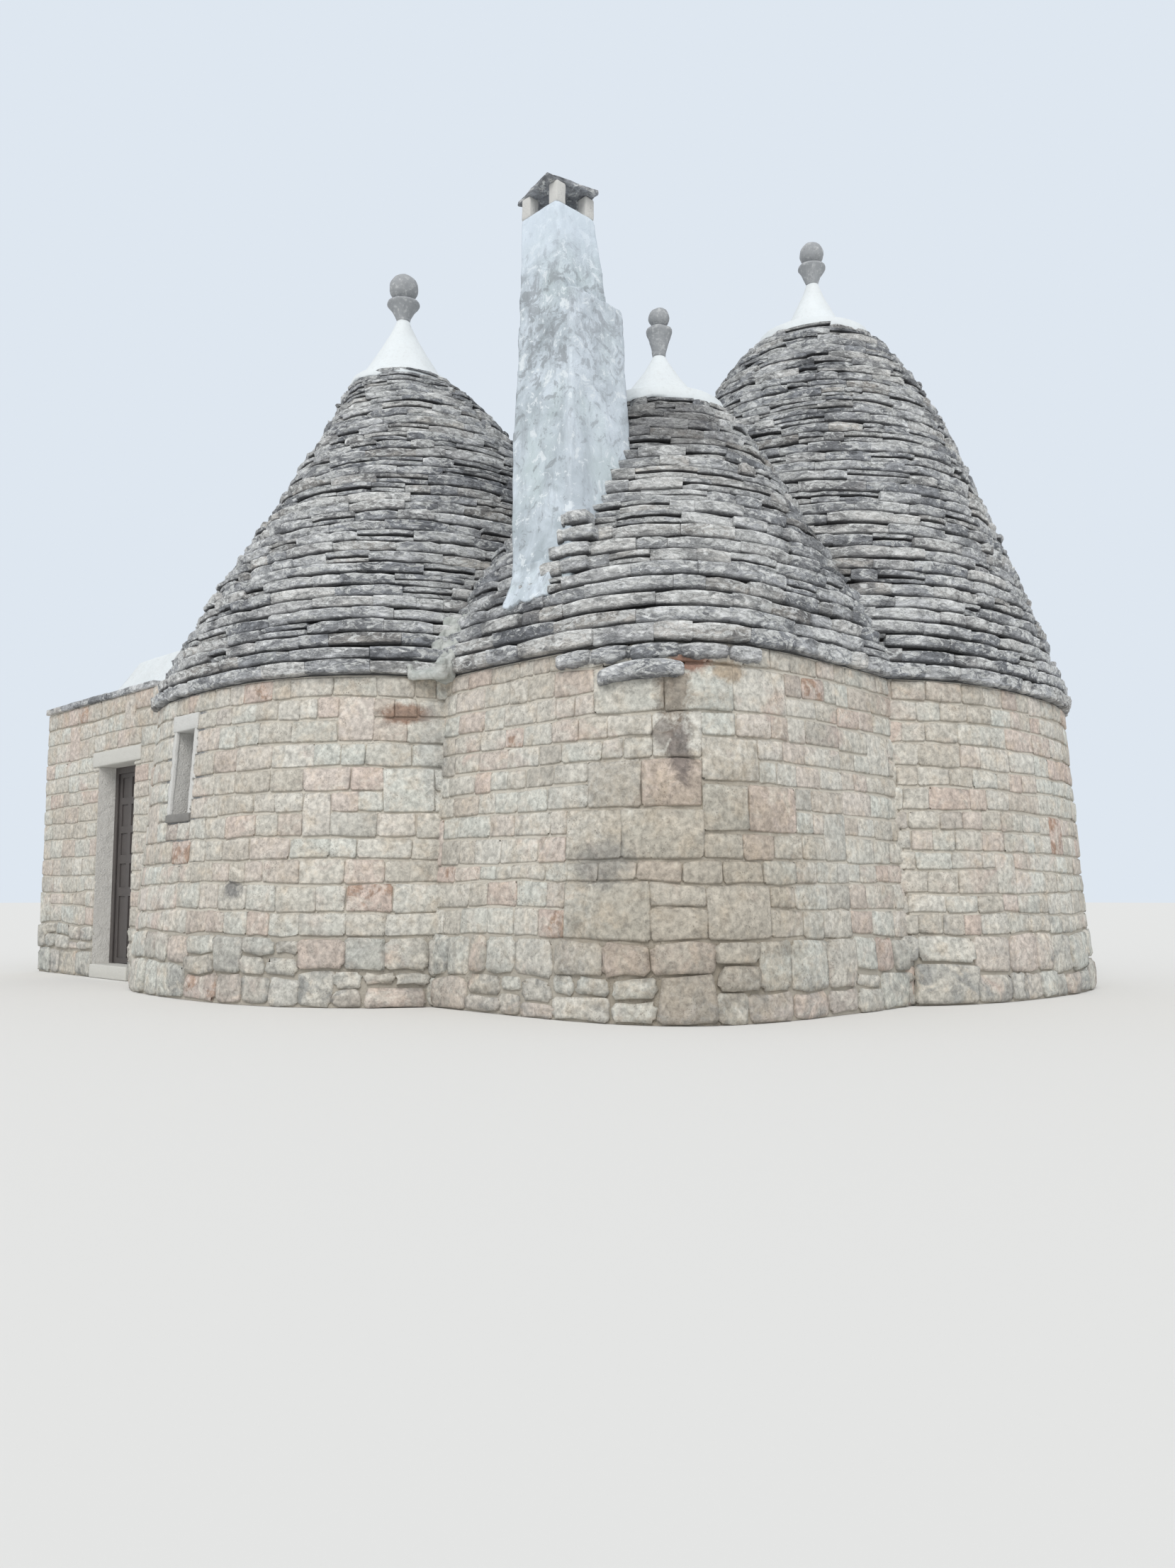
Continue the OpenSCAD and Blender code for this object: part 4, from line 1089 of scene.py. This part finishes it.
# The cup's lip, in shares of the cup's radius and height
lip = ((1.01, 0.84), (1, 0.88), (0.96, 0.92), (0.88, 0.945), (0.6, 0.99), (0.4, 1), (0, 1))
for name, (at, foot, neck, cup, cup_height, ball) in pinnacles.items():
    bm = bmesh.new()
    flare = [(neck + (cup - neck) * (u / 10) ** 1.5, cup_height * 0.8 * u / 10) for u in range(11)]
    spun(bm, at, foot, [(0.0, 0.0), *flare, *((cup * r, cup_height * z) for r, z in lip)], 40)
    made = bmesh.ops.create_uvsphere(bm, u_segments=40, v_segments=24, radius=ball)["verts"]
    bmesh.ops.translate(bm, verts=made, vec=(*at, foot + cup_height + ball * 0.94))
    bmesh.ops.recalc_face_normals(bm, faces=bm.faces)
    bm.normal_update()
    push_out(bm, lambda p: 0.006 * noise.noise(p * 14) + 0.003 * noise.noise(p * 40))
    stone = new_piece(name + "_carved_pinnacle", bm)
    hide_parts(name + "_pinnacle")
    dress(carved, stone)

# Rain from the two front cones runs down a channel of lime mortar in their valley, and leaves by
# a scoop over the eaves.


def melted_copy(name, nodes, voxel, rounds, push):
    """A copy of CAD nodes as one skin of mortar: its edges run together, its face pushed in and out."""
    rough = link(name + "_rough", into_mesh(name + "_rough", new_copy_of(nodes)))
    melt = rough.modifiers.new("melt", "REMESH")
    melt.mode, melt.voxel_size = "VOXEL", voxel
    soften = rough.modifiers.new("soften", "SMOOTH")
    soften.factor, soften.iterations = 0.5, rounds
    done = bpy.data.meshes.new_from_object(rough.evaluated_get(bpy.context.evaluated_depsgraph_get()))
    bpy.data.objects.remove(rough)
    bm = bmesh.new()
    bm.from_mesh(done)
    bm.normal_update()
    push_out(bm, push)
    piece = new_piece(name, bm)
    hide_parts(*nodes)
    return piece


def trowelled(p):
    return 0.010 + 0.026 * noise.noise(p * 5) + 0.014 * noise.noise(p * 13) + 0.006 * noise.noise(p * 29)


gutter = melted_copy("mortar_gutter", ["valley_gutter"], 0.014, 5, trowelled)
m = Finish("gutter_lime")
wash = m.use(lime, Vector=m.coords, Wear=0.8)
damp = m.clouds(7.0, 6.0, 0.65, 0.8)
m.colour = m.mix(m.spread(damp, 0.42, 0.6), (0.60, 0.605, 0.56), (0.36, 0.38, 0.34))
m.coat(0.3, wash["Colour"])
m.coat(m.spread(damp, 0.62, 0.7), (0.33, 0.33, 0.30))
dress(m.done(m.plus(wash["Height"], damp), 0.03), gutter)

# The chimney is a square stack of rubble under many coats of lime wash. It narrows upwards, steps
# in at a shoulder where the render has broken away, and ends in four posts under a loose slab.
shoulder = 5.96


def broken_render(p):
    """Lumps and hollows of old render, deepest round the shoulder and on the edges."""
    worst = math.exp(-((p.z - shoulder + 0.15) / 0.45) ** 2)
    lumps = 0.009 * noise.noise(p * 2.6) + 0.008 * noise.noise(p * 6)
    flakes = wander(p.x * 9, p.y * 9, p.z * 6) + 0.5 * noise.noise(p * 21)
    return 0.008 + lumps + (0.003 + 0.008 * worst) * flakes


stack = melted_copy("chimney_render", ["chimney_stack", "chimney_upper"], 0.021, 1, broken_render)
posts = worn_copy("chimney_render_posts", "chimney_posts", 0.05, 0.012, 0.005, 12)
cap = worn_copy("chimney_cap_slab", "chimney_cap", 0.06, 0.010, 0.010, 9)


def chimney_material():
    """Lime wash with a painted blue reflection of the sky, worn to grey render in clouds and streaks, and flaked
    off round the shoulder.
    """
    m = Finish("chimney_wash", 0.88)
    texture = m.grain(1.4)
    height = m.axis(2)
    clouds = m.clouds(2.4, 7.0, 0.66, 0.9)
    scrapes = m.clouds(8.0, 6.0, 0.7, 0.6)
    runs = m.noise(m.vector("MULTIPLY", m.coords, (9, 9, 2.4)), 1.0, 6.0, 0.68, 0.4)
    ragged = m.plus(height, m.times(clouds, 1.1))
    band = m.times(m.spread(ragged, shoulder - 1.0, shoulder + 0.2),
                   m.spread(ragged, shoulder + 1.2, shoulder + 0.75))
    # The blue in the wash's colours, here and in the coats below, is a painted reflection of the sky.
    m.colour = m.mix(m.spread(clouds, 0.36, 0.62), (0.44, 0.50, 0.54), (0.68, 0.75, 0.82))
    greenish = m.spread(m.clouds(1.5, 5.0), 0.5, 0.68, 0, 0.5)
    m.coat(greenish, (0.56, 0.66, 0.65))
    streaked = m.spread(m.plus(runs, m.times(band, 0.05)), 0.5, 0.7, 0, 0.6)
    m.coat(streaked, (0.30, 0.33, 0.355))
    flaked = m.spread(m.plus(scrapes, m.times(band, 0.07)), 0.575, 0.64, 0, 0.6)
    m.coat(flaked, (0.24, 0.255, 0.27))
    fresh = m.spread(scrapes, 0.43, 0.39, 0, 0.8)
    m.coat(fresh, (0.80, 0.85, 0.88))
    # Painted light: the stack's right face is made paler than its left.
    painted_light_right_side = m.spread(m.axis(0), 3.17, 3.23, 0, 0.2)
    m.coat(painted_light_right_side, (0.70, 0.76, 0.84))
    # The upper stack is made paler and bluer; its blue is a painted reflection of the sky.
    upper_stack_sky_tint = m.spread(height, shoulder + 0.1, shoulder + 0.6, 0, 0.65)
    m.coat(upper_stack_sky_tint, (0.71, 0.795, 0.89))
    rough = m.times(m.plus(scrapes, m.times(texture["Height"], 0.6)), m.plus(band, 0.5))
    return m.done(m.minus(rough, m.times(flaked, 0.3)), 0.008)


chimney_wash = chimney_material()
plaster = mottled_material("old_plaster", (0.50, 0.495, 0.475), (0.78, 0.775, 0.75), 1.5, 0.012)
dress(chimney_wash, stack)
dress(plaster, posts)
dress(slab_material("cap_slab", 0.0), cap)

# At the chimney's foot the slabs step up in front of its right side, and lime is smeared over the
# slabs in front of its left side, to keep the rain out of the joint.
rng = random.Random(71)
bm, shade = start_piece("slab")
cone_middle, cone_count, cone_rise = roofs["hearth"][:3]
first_step, past_steps = 5, 9
for i in range(first_step, past_steps):
    z0, z1 = course_z(i, cone_count, cone_rise), course_z(i + 1, cone_count, cone_rise)
    half, square = ring("hearth", z0)[1:]
    half = max(half, 1.70)
    ends = [2.97 + 0.085 * (i - first_step), 3.2 + rng.uniform(-0.06, 0.06), 3.46 + rng.uniform(-0.06, 0.06)]
    turns = [math.atan2(-half, x - cone_middle[0]) for x in ends]
    for turn0, turn1 in zip(turns, turns[1:]):
        lay_slab(bm, shade, rng, cone_middle, half, square, turn0, turn1, wall_top + z0, wall_top + z1,
                 0.2, 0.02, slab_mark(rng, 0))
dress(grey_slab, new_piece("chimney_foot_slabs", bm, smooth=False))

bm = bmesh.new()
bmesh.ops.create_grid(bm, x_segments=26, y_segments=16, size=0.5)
apron_left, apron_right, apron_top, apron_foot = 2.60, 3.08, 3.66, 3.30
for v in bm.verts:
    across, down = v.co.x + 0.5, 0.5 - v.co.y
    x = apron_left + (apron_right - apron_left) * across
    ragged = wander(across * 3.5, 1, 7) + 0.5 * wander(across * 11, 4, 2)
    foot_here = apron_foot + 0.05 * ragged + 0.12 * max(0, across - 0.7)
    z = apron_top + (foot_here - apron_top) * down
    y = min(cone_middle[1] - ring("hearth", z - wall_top)[1] - 0.075, -2.635)
    v.co = Vector((x + 0.02 * wander(down * 5, 3, 1), y + 0.016 * wander(x * 8, z * 8, 2), z))
bmesh.ops.recalc_face_normals(bm, faces=bm.faces)
thicken(bm, (0, 0.12, 0))
dress(chimney_wash, new_piece("chimney_foot_lime", bm))

# The wing's roof is a flat bed of rubble with a lime-washed hip on it, leaning on the main cone.
# The edge of the bed shows in the wing's walls, where it takes their colour.
hip = worn_copy("wing_lime_hip", "wing_hip", 0.12, 0.03, 0.02, 1.8)
dress(lime_material("hip_lime", 0.2, 0.02), hip)
m = Finish("lime_bed")
wash = m.use(lime, Vector=m.coords, Wear=0.6)
m.colour = wash["Colour"]
in_walls = m.larger(m.spread(m.axis(1), -3.3, -3.4), m.spread(m.axis(1), -0.27, -0.17))
m.coat(m.larger(in_walls, m.spread(m.axis(0), -5.07, -5.17)), (0.45, 0.415, 0.35))
dress(m.done(wash["Height"], 0.02), "wing_slab")

# The doorway has a long sawn lintel and a threshold of the same pale stone. The window has a
# lintel under its plaster, and a sill of darker stone.
sawn = mottled_material("sawn_limestone", (0.50, 0.49, 0.455), (0.72, 0.71, 0.665), 2.0, 0.008,
                        (0.5, (0.30, 0.28, 0.25)))
sill_stone = mottled_material("sill_stone", (0.13, 0.125, 0.12), (0.34, 0.33, 0.31), 2.0, 0.012)
for material, name, node, step, wear, amount, scale in (
        (sawn, "door_lintel_stone", "door_lintel", 0.08, 0.014, 0.005, 8),
        (sawn, "door_threshold_stone", "door_threshold", 0.08, 0.012, 0.004, 8),
        (plaster, "window_lintel_stone", "window_lintel", 0.07, 0.01, 0.004, 9),
        (sill_stone, "window_sill_stone", "window_sill", 0.07, 0.01, 0.004, 9)):
    dress(material, worn_copy(name, node, step, wear, amount, scale))

# The door is dark stained oak: a panelled leaf in a plain frame, on iron pins and straps. The
# window's frame is of the same wood.
m = Finish("dark_oak", 0.55)
fibres = m.noise(m.vector("MULTIPLY", m.coords, (28, 28, 2.2)), 1.6, 6.0, 0.65)
m.colour = m.mix(fibres, (0.04, 0.036, 0.035), (0.14, 0.124, 0.118))
m.feed(m.shader["Roughness"], m.spread(fibres, 0.3, 0.7, 0.45, 0.7))
dress(m.done(fibres, 0.003), "door_leaf", "door_frame", "window_frame")

m = Finish("black_iron", 0.5)
m.shader["Metallic"].default_value = 0.8
m.colour = m.mix(m.clouds(60.0), (0.03, 0.03, 0.03), (0.10, 0.085, 0.075))
dress(m.done(), "door_latch", "door_pins", "door_straps")

# The window is a small pane in a timber frame, deep in a plastered reveal. A band of lime plaster
# is washed round the opening, over the edges of the stones.
m = Finish("window_pane", 0.08)
m.colour = (0.75, 0.80, 0.82)
m.shader["Transmission Weight"].default_value = 0.9
dress(m.done(m.clouds(6.0, 2.0, 0.5), 0.002), "window_glass")

bm = bmesh.new()
band_wide, cells = 0.08, 40
bmesh.ops.create_grid(bm, x_segments=cells, y_segments=2 * cells, size=0.5)
band_low, band_high = window_low, window_high + 0.03
for v in bm.verts:
    s = window_s + v.co.x * 2 * (window_half + band_wide)
    z = (band_low + band_high) / 2 + v.co.y * (band_high - band_low)
    v.co = Vector((s, z, 0))
beside_band = []
for f in bm.faces:
    at = f.calc_center_median()
    ragged = band_wide * (0.75 + 0.5 * wander(at.x * 9, at.y * 5, 2) + 0.3 * wander(at.x * 25, at.y * 19, 5))
    if not window_half - 0.004 < abs(at.x - window_s) < window_half + ragged:
        beside_band.append(f)
bmesh.ops.delete(bm, geom=beside_band, context="FACES")
for v in bm.verts:
    proud = 0.018 + 0.006 * wander(v.co.x * 14, v.co.y * 9, 8)
    v.co = main_wall.point(v.co.x, v.co.y, proud)
thicken(bm, (0, 0.03, 0), close=False)
dress(plaster, new_piece("window_surround", bm))

# The floors are worn limestone paving, laid in irregular flags with dark joints. They run through
# all the rooms as one level.
m = Finish("worn_paving", 0.7)
joint_lines = m.add("TexVoronoi", {"feature": "DISTANCE_TO_EDGE"}, Vector=m.coords, Scale=1.8)[0]
m.colour = m.mix(m.grain(1.2)["Mottle"], (0.50, 0.46, 0.40), (0.68, 0.64, 0.57))
m.coat(m.spread(joint_lines, 0.02, 0.0), (0.25, 0.22, 0.19))
dress(m.done(m.spread(joint_lines, 0.0, 0.03), 0.01), "stone_floor")

# A plain pale floor, soft light from all round with one broad lamp, and the camera at standing
# height before the valley between the two front cones.
bm = bmesh.new()
bmesh.ops.create_grid(bm, x_segments=1, y_segments=1, size=200)
floor = link("studio_floor", into_mesh("studio_floor", bm))
floor.location.z = -0.002
m = Finish("pale_floor", 0.95)
m.colour = (0.78, 0.77, 0.75)
m.shader["Specular IOR Level"].default_value = 0.0
dress(m.done(), floor)

world = bpy.data.worlds.new("soft_light")
bpy.context.scene.world = world
world.use_nodes = True
sky = Nodes(world.node_tree)
sky.tree.nodes.clear()
rays = sky.add("LightPath")
seen = sky.larger(sky.larger(rays["Is Camera Ray"], rays["Is Glossy Ray"]), rays["Is Transmission Ray"])
colour = sky.mix(seen, (0.92, 0.96, 1.0), (0.77, 0.84, 0.92))
light = sky.add("Background", Color=colour, Strength=sky.spread(seen, 0, 1, 0.76, 0.95))[0]
sky.add("OutputWorld", Surface=light)

sun = bpy.data.lights.new("broad_lamp", "SUN")
sun.energy = 1.45
sun.angle = math.radians(35)
sun.color = (1.0, 0.975, 0.94)
link("broad_lamp", sun).rotation_euler = (math.radians(48), 0, math.radians(37))

view = bpy.data.cameras.new("camera")
view.sensor_fit = "HORIZONTAL"
view.sensor_width = 36
view.lens = 36.065
view.clip_end = 500
camera = link("camera", view)
camera.location = (9.895, -9.05, 0.9)
camera.rotation_euler = (math.radians(95.5), 0, math.radians(45))
bpy.context.scene.camera = camera
bpy.context.scene.view_settings.view_transform = "Standard"
